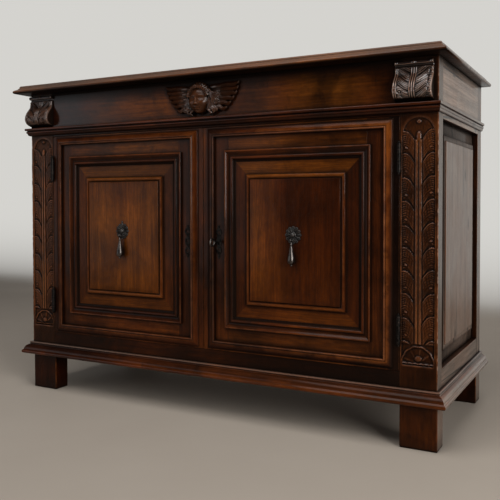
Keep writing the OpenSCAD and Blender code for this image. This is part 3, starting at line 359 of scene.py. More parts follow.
def set_grain(mesh, name, axis=None, spread=0.14, tone=0.0):
    """Gives each solid its own board: grain along its longest side, its own heart and its own tone."""
    co = coords(mesh)
    label = islands(mesh)
    grain = np.zeros_like(co)
    shade = np.zeros(len(co)) + tone
    for i, k in enumerate(np.unique(label)):
        rng = random.Random(f"{name}{i}")
        m = label == k
        lo = co[m].min(0)
        hi = co[m].max(0)
        long = int(np.argmax(hi - lo)) if axis is None else axis
        thin = [a for a in np.argsort(hi - lo) if a != long][0]
        wide = 3 - long - thin
        u, v, w = (co[m] - (lo + hi) / 2)[:, [long, wide, thin]].T
        w = w + rng.uniform(0.025, 0.07) * rng.choice((-1, 1)) + u * rng.uniform(-0.03, 0.03)
        v = v + rng.uniform(-0.05, 0.05) + u * rng.uniform(-0.012, 0.012)
        grain[m] = np.stack([u + rng.uniform(-9, 9), v, w], 1)
        shade[m] += rng.uniform(-spread, spread)
    store(mesh, "grain", grain, "FLOAT_VECTOR")
    store(mesh, "tone", shade)


def blur(values, e, count, times):
    """Averages a value over each vertex's neighbours, several times."""
    links = np.maximum(np.bincount(e.ravel(), minlength=count), 1).astype(float)
    for _ in range(times):
        total = np.bincount(e[:, 0], values[e[:, 1]], count) + np.bincount(e[:, 1], values[e[:, 0]], count)
        values = 0.5 * values + 0.5 * total / links
    return values


def read_carving(mesh, size, wear_and_highlight, dirt):
    """Wear and painted highlights on the high spots of a dense carved mesh, and dirt and painted shade in its
    hollows, from how far it bulges.
    """
    co = coords(mesh)
    e = read(mesh.edges, "vertices", 2, np.int32)
    smooth = np.stack([blur(co[:, i], e, len(co), 14) for i in range(3)], 1)
    out = ((co - smooth) * read(mesh.vertices, "normal", 3)).sum(1)
    bulge = blur(out, e, len(co), 2) / (size * MM)
    store(mesh, "wear_and_highlight", wear_and_highlight * np.clip(bulge, 0, 1))
    store(mesh, "dirt", dirt * np.clip(-bulge, 0, 1))


def link(obj):
    bpy.context.scene.collection.objects.link(obj)
    return obj


def bake(obj):
    """The mesh that an object's settings and modifiers make; the object itself goes."""
    link(obj)
    mesh = bpy.data.meshes.new_from_object(obj.evaluated_get(bpy.context.evaluated_depsgraph_get()))
    bpy.data.objects.remove(obj)
    return mesh


def add(mesh, node, slot=None, shade=40):
    """Puts a mesh in the place of a CAD node, on its body."""
    obj = link(bpy.data.objects.new(node + "_look", mesh))
    slot = slot or SLOT[node]
    mesh.materials.clear()
    mesh.materials.append(MATERIALS[slot])
    for key in ("wear_and_highlight", "dirt", "tone", "chip", "sheen"):
        if key not in mesh.attributes:
            store(mesh, key, np.zeros(len(mesh.vertices)))
    mesh.shade_smooth()
    mesh.set_sharp_from_angle(angle=radians(shade))
    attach(obj, NODES[node]["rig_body"])
    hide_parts(node)
    return obj


def point(bm, x, y, z):
    return bm.verts.new((x * MM, y * MM, z * MM))


def join_rings(bm, rings, caps=True):
    """Faces between closed rings of vertices, and over both ends."""
    for a, b in zip(rings, rings[1:]):
        for i in range(len(a)):
            k = (i + 1) % len(a)
            bm.faces.new((a[i], a[k], b[k], b[i]))
    if caps:
        bm.faces.new(rings[0][::-1])
        bm.faces.new(rings[-1])


def to_mesh(bm, name, outward=True):
    if outward:
        bmesh.ops.recalc_face_normals(bm, faces=bm.faces)
    mesh = bpy.data.meshes.new(name)
    bm.to_mesh(mesh)
    bm.free()
    return mesh


def bisect(bm, place, normal, **settings):
    bmesh.ops.bisect_plane(bm, geom=bm.verts[:] + bm.edges[:] + bm.faces[:], plane_no=normal,
                           plane_co=[v * MM for v in place], **settings)


def at(paint, place):
    """A surface value for each vertex, given as a number or worked out from its x, y and z."""
    return paint(*place.T) if callable(paint) else np.full(len(place), paint)


def dress(node, bevel=1.2, shortest=6.0, angle=25, cut=None, slot=None, tone=0.0, wear_and_highlight=0.0, **paint):
    """The CAD piece with its arrises rubbed round, and its surface values painted on."""
    bm = bmesh.new()
    bm.from_mesh(NODES[node].data)
    bmesh.ops.remove_doubles(bm, verts=bm.verts, dist=5e-6)
    bmesh.ops.dissolve_limit(bm, angle_limit=radians(0.4), verts=bm.verts, edges=bm.edges)
    if cut:
        cut(bm)
    sharp = [e for e in bm.edges if len(e.link_faces) == 2 and e.calc_length() > shortest * MM
             and e.calc_face_angle_signed() > radians(angle)]
    made = set()
    if sharp:
        made.update(bmesh.ops.bevel(bm, geom=sharp, offset=bevel * MM, offset_type="OFFSET", segments=2,
                                    profile=0.5, affect="EDGES", clamp_overlap=False)["faces"])
    rubbed = np.array([float(bool(v.link_faces) and made.issuperset(v.link_faces)) for v in bm.verts])
    mesh = to_mesh(bm, node + "_mesh", outward=False)
    place = coords(mesh) / MM
    store(mesh, "wear_and_highlight", np.maximum(rubbed, at(wear_and_highlight, place)))
    for key, value in paint.items():
        store(mesh, key, at(value, place))
    set_grain(mesh, node, tone=at(tone, place))
    weigh = add(mesh, node, slot).modifiers.new("weigh", "WEIGHTED_NORMAL")
    weigh.keep_sharp = True
    weigh.weight = 90


def step(a, b, x):
    """Grows smoothly from 0 at a to 1 at b."""
    t = np.clip((x - a) / (b - a), 0, 1)
    return t * t * (3 - 2 * t)


def bell(x, middle, width, power=2):
    return np.exp(-abs((x - middle) / width) ** power)


def dome(x, z, cx, cz, rx, rz):
    """Height of a round boss, 1 in its middle and 0 outside."""
    return np.sqrt(np.clip(1 - ((x - cx) / rx) ** 2 - ((z - cz) / rz) ** 2, 0, 1))


def waves(x, period, sharpness):
    """One ridge in each period, from 0 to 1."""
    return abs(np.sin(x * pi / period)) ** sharpness


def spline(knots, n):
    """A smooth line through knots, in a plane or in space."""
    k = np.array(knots, float)
    k = np.vstack([2 * k[0] - k[1], k, 2 * k[-1] - k[-2]])
    spans = len(k) - 3
    out = []
    for i in range(1, spans + 1):
        a, b, c, d = k[i - 1:i + 3]
        for t in np.linspace(0, 1, max(2, n // spans), endpoint=i == spans):
            out.append(0.5 * (2 * b + (c - a) * t + (2 * a - 5 * b + 4 * c - d) * t * t
                              + (3 * b - a - 3 * c + d) * t ** 3))
    return np.array(out)


def widen(values, mesh, rest=0.0):
    """A value for each point of a sheet's grid, and one for the vertices behind it."""
    return np.concatenate([values.ravel(), np.full(len(mesh.vertices) - values.size, rest)])


def sheet_mesh(name, grid, back_y):
    """A solid from a grid of points (rows, columns, xyz), closed by a flat back."""
    rows, cols, _ = grid.shape
    points = grid.reshape(-1, 3)
    idx = np.arange(rows * cols).reshape(rows, cols)
    quads = np.stack([idx[:-1, :-1], idx[:-1, 1:], idx[1:, 1:], idx[1:, :-1]], -1).reshape(-1, 4).tolist()
    ring = [*idx[0, :], *idx[1:, -1], *idx[-1, -2::-1], *idx[-2:0:-1, 0]]
    band = points[ring]
    far = band.copy()
    band[:, 1] += np.minimum(2.5, 0.5 * (back_y - band[:, 1]))
    far[:, 1] = back_y
    n = len(ring)
    base = rows * cols
    loops = [ring, list(range(base, base + n)), list(range(base + n, base + 2 * n))]
    walls = [[a[(i + 1) % n], a[i], b[i], b[(i + 1) % n]] for a, b in zip(loops, loops[1:]) for i in range(n)]
    rough = bpy.data.meshes.new("sheet")
    rough.from_pydata((np.concatenate([points, band, far]) * MM).tolist(), [], quads + walls + [loops[2]])
    bm = bmesh.new()
    bm.from_mesh(rough)
    bpy.data.meshes.remove(rough)
    mesh = to_mesh(bm, name)
    mesh.validate()
    return mesh


# Carved front posts

# The sunk field of a post: its middle, half its width, the centre of its arch, its lower end and the top
# of its foot; then the distance between leaves, and how far a leaf hangs down at its outer end.
POST_X = 636.0
HALF = 42.0
ARCH_Z = 788.0
FOOT_Z = 212.0
FOOT_TOP = 267.0
PITCH = 58.0
DROOP = 27.0


def leaf_relief(x, z, reach):
    """Overlapping leaves on both sides of the stem, each with ribs, ticks and a bud."""
    side = np.where(x < 0, -1.0, 1.0)
    a = HALF - 1 - abs(x)
    wander = 1.6 * np.sin(z * 0.021 + side) + 1.1 * np.sin(z * 0.057 + 2 * side)
    head = ARCH_Z + np.where(side < 0, 9, 13) + wander - DROOP * reach ** 2.2 - 3 * (1 - reach) ** 4
    s = np.mod(head - z, PITCH)
    leaf = -0.7 - 2.1 * (s / PITCH) ** 1.1 + 0.5 * np.sin(pi * s / PITCH)
    leaf = leaf + 0.5 * bell(s, 1.7, 1.5) - 0.9 * bell(s, 4.8, 1.2)
    leaf = leaf - 0.4 * waves(a + 0.16 * s, 6.4, 4) * step(6, 14, s) * step(40, 28, s)
    leaf = leaf - 1.3 * waves(s + 0.3 * a, 5.2, 6) * step(12, 7, a) * step(6, 10, s)
    leaf = leaf - 0.35 * waves(s + 4 * reach, 7.5, 5) * step(8, 12, s)
    thick = 3 + 8.5 * np.sin(pi * np.clip(reach * 1.1, 0, 1)) ** 0.8
    leaf = leaf - 3.0 * step(PITCH - thick, PITCH - 0.25 * thick, s)
    leaf = leaf - 0.5 * bell(np.hypot(a - 9.0, (s - 43) * 1.1), 5.2, 1.6)
    bud = 1.3 + 0.7 * np.sin(z * 0.047 + 2.1 * side) - 0.7 * (x > 0)
    leaf = leaf + bud * dome(a, s, 9.0, 43, 4.0, 3.4)
    return leaf - 0.5 * step(4.0, 0, a) - 1.1 * step(13.5, 10, abs(x))


def foot_relief(x, z):
    """A fan under a scalloped arc, with a ball in its middle."""
    middle = 216
    rho = np.hypot(x, (z - middle) * 0.95)
    angle = np.arctan2(z - middle, x)
    fan = -2.4 - 1.6 * abs(np.sin(angle * 4.5)) ** 0.7
    fan = np.maximum(fan, -4.2 + 4.1 * bell(rho, 40 + 1.4 * abs(np.sin(angle * 6)), 2.6))
    fan = np.where(rho > 45, -3.4, fan)
    fan = np.maximum(fan, -4.0 + 4.3 * dome(x, z, 1, 229, 10, 8))
    return np.maximum(fan, -3.8 + 3.5 * bell(z, 215.5 + 1.4 * abs(np.sin(x / 4.5)), 1.9))


def post_relief(x, z):
    """Height of the carving above the face of the post; x from the post's middle."""
    r = np.hypot(x, np.maximum(z - ARCH_Z, 0))
    reach = np.clip((HALF - 1 - abs(x)) / (HALF - 10.5), 0, 1)
    stem = -0.3 - 2.6 * np.clip(abs(abs(x) - 4.6) / 5.0, 0, 1) ** 2.4
    carve = np.maximum(leaf_relief(x, z, reach), np.where(abs(x) < 9.8, stem, -3.6))
    # the arch is a deep hollow with a long bud in it and a small button at the crown
    above = step(-1, 1.5, z - (ARCH_Z + 11 - DROOP * reach ** 2.2)) * step(762, 768, z)
    rays = abs(np.sin(np.arctan2(z - 774, x) * 6.0)) ** 3
    crown = -4.4 + 2.2 * step(24, 40, r) - 0.8 * rays * step(20, 28, r)
    carve = carve * (1 - above) + crown * above
    carve = np.maximum(carve, -4.6 + 4.6 * dome(x, z, 0.5, 779, 7.0, 15))
    carve = np.maximum(carve, -4.2 + 3.6 * dome(x, z, 0.5, 817, 6.5, 5.5))
    rim = -0.5 - 2.5 * np.clip(abs(r - 40.5) / 2.2, 0, 1) ** 2
    carve = np.where((z > ARCH_Z - 4) & (r > 38), np.maximum(carve, rim), carve)
    foot = step(FOOT_TOP, FOOT_TOP - 4, z)
    carve = carve * (1 - foot) + foot_relief(x, z) * foot
    rough = 0.12 * np.sin(x * 1.7 + z * 0.31) * np.sin(z * 0.83 - x * 0.4)
    rough = rough + 0.10 * np.sin(z * 0.37) * np.sin(x * 0.9 + 1)
    sunk = step(HALF + 0.5, HALF - 1.0, r) * step(FOOT_Z - 0.5, FOOT_Z + 1.0, z)
    return sunk * (carve + rough)


def chips(z, seed, count=34):
    """How worn and knocked an arris is along its length, from 0.1 to 1.3."""
    rng = np.random.default_rng(seed)
    worn = 0.35 + 0.2 * np.sin(z * 0.031 + seed) + 0.15 * np.sin(z * 0.13 + 2 * seed)
    places = rng.uniform(210, 960, count)
    widths = rng.uniform(1.5, 6, count)
    depths = rng.uniform(0.3, 1.0, count)
    for place, width, depth in zip(places, widths, depths):
        worn = worn + depth * bell(z, place, width, 4)
    return np.clip(worn, 0.1, 1.3)


def make_post(side):
    node = "front_post_" + side
    right = side == "right"
    sign = 1 if right else -1
    lo, hi = box(node)
    shoulder = [46, 46.8, 47.8, 48.5, 49]
    x = np.concatenate([np.negative(shoulder[::-1]), np.linspace(-45.4, 45.4, 86), shoulder])
    z = np.concatenate([[lo.z, lo.z + 0.5, lo.z + 1.5], np.arange(120, 965, 1.15), [970, hi.z]])
    gx, gz = np.meshgrid(x, z)
    ax = abs(gx)
    edge = np.clip((ax - shoulder[0]) / (shoulder[-1] - shoulder[0]), 0, 1)
    outer = gx * sign > 0
    knock = np.where(outer, chips(gz, 3 if right else 8), 0.15)
    h = post_relief(gx + 1.5 * sign, gz) - (1 - np.sqrt(1 - edge ** 2)) * 2.4 * knock
    mesh = sheet_mesh(node + "_mesh", np.stack([sign * POST_X + gx, FRONT - h, gz], -1), back_y=hi.y)
    # Wear with painted highlights on the lips of the leaves, and dirt and painted shade in the hollows.
    read_carving(mesh, *((0.5, 0.7, 1.0) if right else (0.38, 0.85, 1.0)))
    wear_and_highlight = attribute(mesh, "wear_and_highlight")
    crisp = np.clip(wear_and_highlight - 0.1, 0, 1) * widen(step(41.5, 40, ax), mesh)
    calm = widen(1 - 0.55 * step(FOOT_TOP + 3, FOOT_TOP - 5, gz), mesh)
    store(mesh, "sheen", (0.6 if right else 0.35) * crisp * calm - 0.04)
    store(mesh, "chip", widen(step(0.25, 0.9, edge) * np.clip(knock - 0.35, 0, 0.8) * outer, mesh))
    # Along the inner edge beside the door, a painted shade, which also takes the wear off there.
    inner = widen(step(45.5, 47.5, ax) * ~outer * 0.95, mesh)
    store(mesh, "dirt", np.maximum(attribute(mesh, "dirt"), inner))
    store(mesh, "wear_and_highlight", wear_and_highlight * (1 - inner) * widen(np.ones_like(gx), mesh))
    ends = 0.3 * step(800, 836, gz) + 0.3 * step(280, 230, gz)
    stem = 0.65 * step(9, 6, ax) * step(262, 270, gz) * step(785, 770, gz)
    set_grain(mesh, node, 2, tone=(-0.3 if right else 0.0) - widen(ends, mesh) + widen(stem, mesh))
    add(mesh, node, shade=60)


# Corbels

def resample(line, spacing):
    d = np.r_[0, np.cumsum(np.hypot(*np.diff(line, axis=0).T))]
    s = np.linspace(0, d[-1], int(d[-1] / spacing) + 1)
    return np.stack([np.interp(s, d, line[:, 0]), np.interp(s, d, line[:, 1])], 1)


def corbel_outline():
    """Pairs of depth and height from the foot of the belly to the top of the roll."""
    belly = spline([(0, 3), (8, 5), (18, 9), (25.5, 16.5), (28.6, 26), (27.4, 35), (23.5, 44), (17.5, 53),
                    (10.8, 61), (7.0, 67), (5.6, 74), (5.0, 83)], 90)
    turn = np.radians(np.linspace(-125, 90, 14))
    roll = np.stack([4.6 + 5.2 * np.cos(turn), 96.6 + 5.2 * np.sin(turn)], 1)
    neck = [(4.0, 85), (1.2, 86.5), (0.9, 89.5), (1.6, 91)]
    return np.concatenate([[(0, 0)], belly, neck, roll, [(0, 102.0)]])


def corbel_relief(out, height):
    """Reeds, side beads and lobed leaves of the belly; out grows from its middle to the outer side."""
    ax = abs(out)
    rib = lambda v, c, w: np.sqrt(np.clip(1 - ((v - c) / w) ** 2, 0, 1))
    wavy = 40.5 + 1.8 * np.sin(height * 0.55)
    relief = 3.2 * (rib(-out, 46.0, 2.6) + rib(-out, 40.8, 1.9) + rib(out, 0, 2.4)) + 3.0 * rib(ax, 5.6, 2.1)
    wavy_bead = rib(out, (wavy + 48.6) / 2, (48.6 - wavy) / 2)
    relief = relief + 2.9 * wavy_bead * (0.75 + 0.25 * np.sin(height * 1.1))
    field = step(7.2, 9, ax) * step(39, 37, ax)
    t = height - 0.55 * (ax - 7) + 3 * np.sin(ax * 0.11) + np.where(out > 0, 7, 0)
    cup = 1 - ((ax - 24) / 17) ** 2
    nick = bell(np.mod(t, 24), 5.5, 1.2) * step(16, 20, ax) * step(37, 32, ax)
    leaf = -4.4 + 6.0 * waves(t, 24, 0.5) + 1.2 * cup - 1.2 * waves(t + 0.1 * ax, 4.8, 5) - 2.4 * nick
    curl = np.hypot(out + 31, (height - 22) * 1.15)
    coil = bell(curl, 6.5, 1.5) + 1.1 * bell(curl, 0, 2.3)
    return relief + field * leaf * step(8, 11, curl) + coil * 2.2 - 1.5 * step(9, 5, curl)


def make_corbel(side):
    node = "corbel_" + side
    right = side == "right"
    lo, hi = box(node)
    spacing = 0.7
    line = resample(corbel_outline(), spacing)
    tangent = np.gradient(line, axis=0)
    tangent /= np.hypot(*tangent.T)[:, None]
    gx, _ = np.meshgrid(np.linspace(-49, 49, 141), line[:, 0])
    ax = abs(gx)
    depth, height = line.T[:, :, None]
    body = step(5, 12, height) * step(85.5, 83.5, height)
    roll = step(93, 95.5, height)
    collar = bell(ax, 46.5, 2.2, 4) + bell(ax, 0, 2.6, 4) + 0.6 * bell(ax, 5, 1.3) + 0.6 * bell(ax, 41.5, 1.2)
    off = body * (corbel_relief(gx if right else -gx, height) - 1.4)
    off = (off + roll * (2.1 * np.clip(collar, 0, 1) - 1.7)) * step(0, 4, depth)
    round_end = 1.4
    end = np.clip(ax - 49 + round_end, 0, round_end)
    off = off - (round_end - np.sqrt(round_end ** 2 - end ** 2))
    d = np.maximum(depth + off * tangent[:, 1][:, None], 0)
    zz = np.clip(height - off * tangent[:, 0][:, None], 0, hi.z - lo.z)
    grid = np.stack([(lo.x + hi.x) / 2 + gx, FRONT - np.minimum(d, FRONT - lo.y), lo.z + zz], -1)
    mesh = sheet_mesh(node + "_mesh", grid, back_y=FRONT)
    # The right corbel gets full wear and pale chips on its raised parts as painted highlights; the left one
    # gets weaker wear and a darker tone as painted shade. The cheeks are darkened.
    read_carving(mesh, 0.55, 1.0 if right else 0.45, 1.0)
    cheek = widen(np.zeros_like(gx), mesh, 0.75)
    store(mesh, "dirt", np.maximum(attribute(mesh, "dirt"), cheek))
    store(mesh, "wear_and_highlight", attribute(mesh, "wear_and_highlight") * (cheek == 0))
    store(mesh, "sheen", widen(np.full_like(gx, 1.0 if right else 0.45), mesh, 0.1))
    store(mesh, "chip", 0.6 * attribute(mesh, "wear_and_highlight"))
    set_grain(mesh, node, 2, tone=-0.35 if right else -0.6)
    add(mesh, node, shade=60)


# Cherub

# The lower end of the carving and the middle of its head.
BASE_Z = 868.0
HEAD_Z = BASE_Z + 44


def tube(bm, line, widths, thick, sides=14):
    """A tapering strand along points (x, out, up), with an oval section that lies flat on the frieze."""
    rings = []
    for i, c in enumerate(line):
        t = line[min(i + 1, len(line) - 1)] - line[max(i - 1, 0)]
        t /= np.linalg.norm(t)
        side = np.cross(t, (0.0, 1.0, 0.0))
        side /= max(np.linalg.norm(side), 1e-6)
        up = np.cross(side, t)
        ring = [c + side * widths[i] * cos(a) + up * thick[i] * sin(a)
                for a in np.linspace(0, 2 * pi, sides, endpoint=False)]
        rings.append([point(bm, x, -out, z) for x, out, z in ring])
    join_rings(bm, rings)


def face_ball(bm, cx, cz, out, rows=190, cols=200):
    """A generic calm child's face on plain proportions: brow at a half, nose at a quarter."""
    rx, ry, rz = 35.5, 29.0, 41.5
    down, around = np.meshgrid(np.linspace(0, pi, rows + 1),
                               np.linspace(0, 2 * pi, cols, endpoint=False), indexing="ij")
    n = np.stack([np.sin(down) * np.sin(around), np.sin(down) * np.cos(around), np.cos(down)], -1)
    n = n.reshape(-1, 3)
    x, front, z = (n * (22.5, 1, 29)).T
    lump = lambda px, pz, sx, sz: np.exp(-((abs(x) - px) / sx) ** 2 - ((z - pz) / sz) ** 2)
    # cheeks, eye hollows and lids
    lift = 3.2 * lump(11.5, -9, 7, 8) - 2.6 * lump(8.2, 1.5, 5.0, 3.6) + 1.5 * lump(8.0, 1.0, 3.6, 2.1)
    # brow bones and forehead
    lift += 1.0 * lump(8.5, 6.2, 5.5, 1.8) + 1.6 * lump(0, 14, 14, 9)
    # bridge, tip and wings of the nose
    lift += 3.0 * lump(0, -3.0, 1.9, 6.0) + 4.2 * lump(0, -9.3, 2.6, 2.5) + 1.7 * lump(3.2, -10.0, 1.7, 1.6)
    # the line between the lids
    lift -= 0.9 * lump(8.2, 1.1, 4.2, 0.5)
    # lips, the line between them and their corners
    lift += 2.3 * lump(0, -15.6, 5.0, 1.5) + 2.4 * lump(0, -18.8, 4.0, 1.6) - 1.4 * lump(0, -17.1, 6.2, 0.6)
    lift -= 1.0 * lump(6.6, -17.0, 1.2, 1.2)
    # chin and the hollow above it
    lift += 3.0 * lump(0, -24.5, 5.5, 3.6) - 1.1 * lump(0, -21.4, 4.5, 1.1)
    r = 1 + step(0.1, 0.6, front) * lift / 25.0
    taper = 1 - 0.16 * step(-2, -29, z)
    p = np.stack([cx + n[:, 0] * rx * r * taper, out + n[:, 1] * ry * r,
                  cz + n[:, 2] * rz * (1 + 0.35 * (r - 1))], 1)
    verts = [point(bm, a, -b, c) for a, b, c in p]
    join_rings(bm, [verts[k:k + cols] for k in range(0, len(verts), cols)], caps=False)


def strand(bm, knots, width, thick, wave, phase, n, taper=0.55):
    """A lock of hair through knots, waving a little, thinner to its tip."""
    line = spline(knots, n)
    u = np.linspace(0, 1, len(line))
    line[:, 0] += wave * np.sin(u * 20 + phase) * np.minimum(1, u * 4)
    line[:, 2] += wave * np.cos(u * 17 + phase) * np.minimum(1, u * 4)
    tube(bm, line, width * (1 - taper * u ** 3), thick * (1 - 0.5 * taper * u))


def curl_hair(bm, cz):
    """A rolled band over the brow, then for each side waving locks beside the face and curls below them."""
    rng = random.Random(7)
    for i in range(15):
        a = radians(8 + 164 * i / 14)
        c = cos(a)
        s = sin(a)
        strand(bm, [(-4 + 27.5 * c, 27 - 6 * abs(c), cz + 4 + 27 * s),
                    (-4 + 32 * c, 28 - 5 * abs(c), cz + 6 + 32 * s),
                    (-4 + 38 * c, 18, cz + 8 + 37 * s),
                    (-4 + 36 * c - 3, 8, cz + 9 + 40 * s)], 3.4, 3.8, 1.1, i * 1.3, 18, 0.2)
    for sign in (-1, 1):
        for i in range(8):
            d = rng.uniform(-1, 1)
            strand(bm, [(sign * (29 + 1.3 * i) - 3, 18 - 1.3 * i, cz + 25 - 2 * i),
                        (sign * (34.5 + 2.1 * i) - 3, 16 - i, cz + 8 - i),
                        (sign * (33.5 + 2.4 * i + d) - 3, 15 - 0.6 * i, cz - 8 - i),
                        (sign * (29 + 3.2 * i) - 3, 12 - 0.4 * i, cz - 24 - 0.4 * i + d),
                        (sign * (39 + 2.6 * i) - 2, 10, cz - 31 + 1.6 * i)],
                   2.6, 4.2, 1.3, i * 1.7 + sign, 40)
        for i in range(5):
            a = radians(-165 + 24 * i)
            strand(bm, [(sign * 46 - 2, 11, cz - 22),
                        (sign * (46 + 6 * cos(a)) - 2, 14, cz - 22 + 6 * sin(a)),
                        (sign * (47 + 12 * cos(a + 0.3)) - 2, 11, cz - 22 + 13 * sin(a + 0.3)),
                        (sign * (47 + 16 * cos(a + 0.7)) - 2, 7, cz - 21 + 16 * sin(a + 0.7))],
                   2.6, 3.4, 0.5, i, 18)


def fan_lock(bm, cz):
    """The one lock on the right that spreads like a fan."""
    for i in range(8):
        a = radians(-8 - 10.5 * i)
        c = cos(a)
        s = sin(a)
        strand(bm, [(33, 17, cz + 26), (38 + 4 * c, 20, cz + 18 + 5 * s), (39 + 19 * c, 17, cz + 18 + 23 * s),
                    (39 + 28 * c, 10, cz + 17 + 34 * s)], 2.7, 3.2, 0.6, i * 2.1, 22, 0.1)


def spread_wing(bm, base, sign):
    """Long feathers with hooked tips and a raised vein, shorter ones over them, and three small ones below."""
    mirrored = lambda knots, n: spline([(sign * a, b, c) for a, b, c in knots], n)
    for i in range(6):
        z = base + 80 - 11.6 * i
        tip = 124 - 2.5 * i - 2.4 * max(0, i - 1) ** 1.75
        climb = 4.5 - 2.0 * i
        line = mirrored([(24, 5, z - 3), (50, 8, z), (0.62 * tip + 8, 8.5, z + 0.35 * climb),
                         (tip - 13, 7.5, z + climb - 1.5), (tip - 4, 6.5, z + climb - 0.5),
                         (tip, 4.5, z + climb + 5)], 34)
        u = np.linspace(0, 1, len(line))
        line[:, 2] += 0.9 * np.sin(u * 19 + i)
        tube(bm, line, 6.6 * (1 - 0.75 * u ** 5), 4.2 - 1.2 * u)
        vein = line[3:-3] + (0, 3.2, 0)
        tube(bm, vein, np.full(len(vein), 1.5), np.full(len(vein), 1.5))
    for i in range(4):
        z = base + 76 - 15 * i
        line = mirrored([(34, 9, z), (50, 12, z + 1), (64 - 3 * i, 11, z + 2), (69 - 4 * i, 7, z + 6)], 20)
        tube(bm, line, np.linspace(6.5, 3, len(line)), np.linspace(4, 3, len(line)))
    for x, up in ((30, 9), (40, 12), (50, 17)):
        z = base + up
        line = mirrored([(x - 10, 9, z + 9), (x, 12, z + 2), (x + 5, 11, z - 5), (x - 1, 8, z - 8)], 18)
        tube(bm, line, np.linspace(4.5, 2.8, len(line)), np.linspace(4, 3, len(line)))


def one_skin(bm, name, low_z, high_z):
    """Melts the strands into one skin, cuts it flat at the frieze and keeps it between two heights."""
    rough = bpy.data.objects.new("cherub_rough", to_mesh(bm, "cherub_rough"))
    grow = rough.modifiers.new("skin", "REMESH")
    grow.mode = "VOXEL"
    grow.voxel_size = 0.85 * MM
    ease = rough.modifiers.new("ease", "SMOOTH")
    ease.factor = 0.5
    ease.iterations = 2
    bm = bmesh.new()
    bm.from_mesh(bake(rough))
    bisect(bm, (0, FRONT, 0), (0, 1, 0), clear_outer=True)
    rim = [e for e in bm.edges if len(e.link_faces) == 1]
    bmesh.ops.triangle_fill(bm, edges=rim, use_beauty=False)
    for v in bm.verts:
        v.co.z = min(max(v.co.z, low_z * MM), high_z * MM)
    return to_mesh(bm, name, outward=False)


def make_cherub():
    node = "cherub_carving"
    bm = bmesh.new()
    face_ball(bm, -4, HEAD_Z, 4)
    curl_hair(bm, HEAD_Z)
    fan_lock(bm, HEAD_Z)
    for sign in (-1, 1):
        spread_wing(bm, BASE_Z, sign)
    bmesh.ops.translate(bm, verts=bm.verts, vec=(0, FRONT * MM, 0))
    mesh = one_skin(bm, node + "_mesh", 863.5, 972.5)
    read_carving(mesh, 0.8, 0.75, 0.95)
    x, _, z = coords(mesh).T / MM
    across = abs(x + 3)
    away = step(48, 80, across)
    hair = step(30, 36, np.hypot(across, (z - HEAD_Z - 2) * 0.85)) * (1 - away)
    worn = attribute(mesh, "wear_and_highlight")
    store(mesh, "wear_and_highlight", worn * (1 - 0.8 * away))
    # Pale chips on the hair are painted highlights.
    store(mesh, "chip", 0.2 * worn * hair)
    store(mesh, "sheen", -0.03 + 0.3 * hair + 0.12 * (1 - away))
    set_grain(mesh, node, 0, tone=-0.35 * away)
    add(mesh, node, shade=80)


# Iron

# The middle of the rosettes, and the pin on which the drops swing.
ROSETTE_Z = 530.0
PIVOT_Z = 516.0


def lathe(bm, outline, centre, axis, steps=40):
    """Turns an outline of (radius, along) points round an axis through centre."""
    cx, cy, cz = centre
    rings = []
    for r, h in outline:
        ring = []
        for i in range(steps):
            a = 2 * pi * i / steps
            p = r * cos(a)
            q = r * sin(a)
            x, y, z = {"x": (h, p, q), "y": (p, -h, q), "z": (p, q, h)}[axis]
            ring.append(point(bm, cx + x, cy + y, cz + z))
        rings.append(ring)
    join_rings(bm, rings)


def make_petals(bm, cx, field, steps=240):
    """Twelve petals round the boss of a rosette, with a groove along each and a thin rim."""
    inner = 8.0
    outer = 24.0
    radii = [*np.linspace(inner, 22.5, 20), 23.4, outer, outer]
    last = len(radii) - 1
    rings = []
    for k, r in enumerate(radii):
        u = (r - inner) / (outer - inner)
        ring = []
        for i in range(steps):
            a = 2 * pi * i / steps
            petal = abs(cos(6 * a)) ** 0.45
            h = 0.8 + 2.9 * petal * (0.45 + 0.55 * sin(pi * min(1, 0.25 + u * 0.8)))
            h -= 1.5 * bell(cos(6 * a) ** 2, 1, 0.10) * bell(u, 0.5, 0.28)
            h = 0.0 if k == last else max(0.7, h - 0.9 * (k == last - 1))
            reach = r - max(0, r - 12) / 12 * 6.5 * (1 - petal)
            ring.append(point(bm, cx + reach * cos(a), field - h, ROSETTE_Z + reach * sin(a)))
        rings.append(ring)
    join_rings(bm, rings)


def make_rosette(side):
    """Petals, a boss in their middle, and two ears that hold the pin of the drop."""
    node = side + "_door_rosette"
    lo, hi = box(node)
    cx = (lo.x + hi.x) / 2
    field = hi.y
    pivot_y = field - 13
    bm = bmesh.new()
    make_petals(bm, cx, field)
    boss = [(8.6, 0), (8.6, 3.4), (7.8, 4.0), (6.6, 3.6)]
    boss += [(6.2 * cos(a), 4.2 + 5.2 * sin(a)) for a in np.linspace(0, 1.5, 9)]
    lathe(bm, boss, (cx, field, ROSETTE_Z), "y")
    for ear_x in (cx - 4.4, cx + 4.4):
        lathe(bm, [(1.2, 0), (3.0, 0.3), (3.4, 1.1), (3.0, 1.9), (1.2, 2.2)], (ear_x - 1.1, pivot_y, PIVOT_Z),
              "x", 20)
        for v in bmesh.ops.create_cube(bm, size=1)["verts"]:
            x, y, z = v.co
            v.co = Vector((ear_x + 2.0 * x, field - 6.2 + 12.4 * y, PIVOT_Z + 4.6 * z)) * MM
    lathe(bm, [(1.0, 0), (1.8, 0.4), (1.8, 10.6), (1.0, 11)], (cx - 5.5, pivot_y, PIVOT_Z), "x", 20)
    if side == "left":
        lathe(bm, [(2.4, 0), (2.2, 3), (1.2, 4.5), (1.9, 6.5), (1.5, 8.5), (0.4, 11)],
              (cx, field - 1.6, ROSETTE_Z + 21), "z", 16)
    mesh = to_mesh(bm, node + "_mesh")
    # Bright wear on the raised rims of the petals, worn iron and painted glints, and dirt and painted shade
    # between them.
    read_carving(mesh, 0.4, 0.9, 0.9)
    add(mesh, node, shade=45)


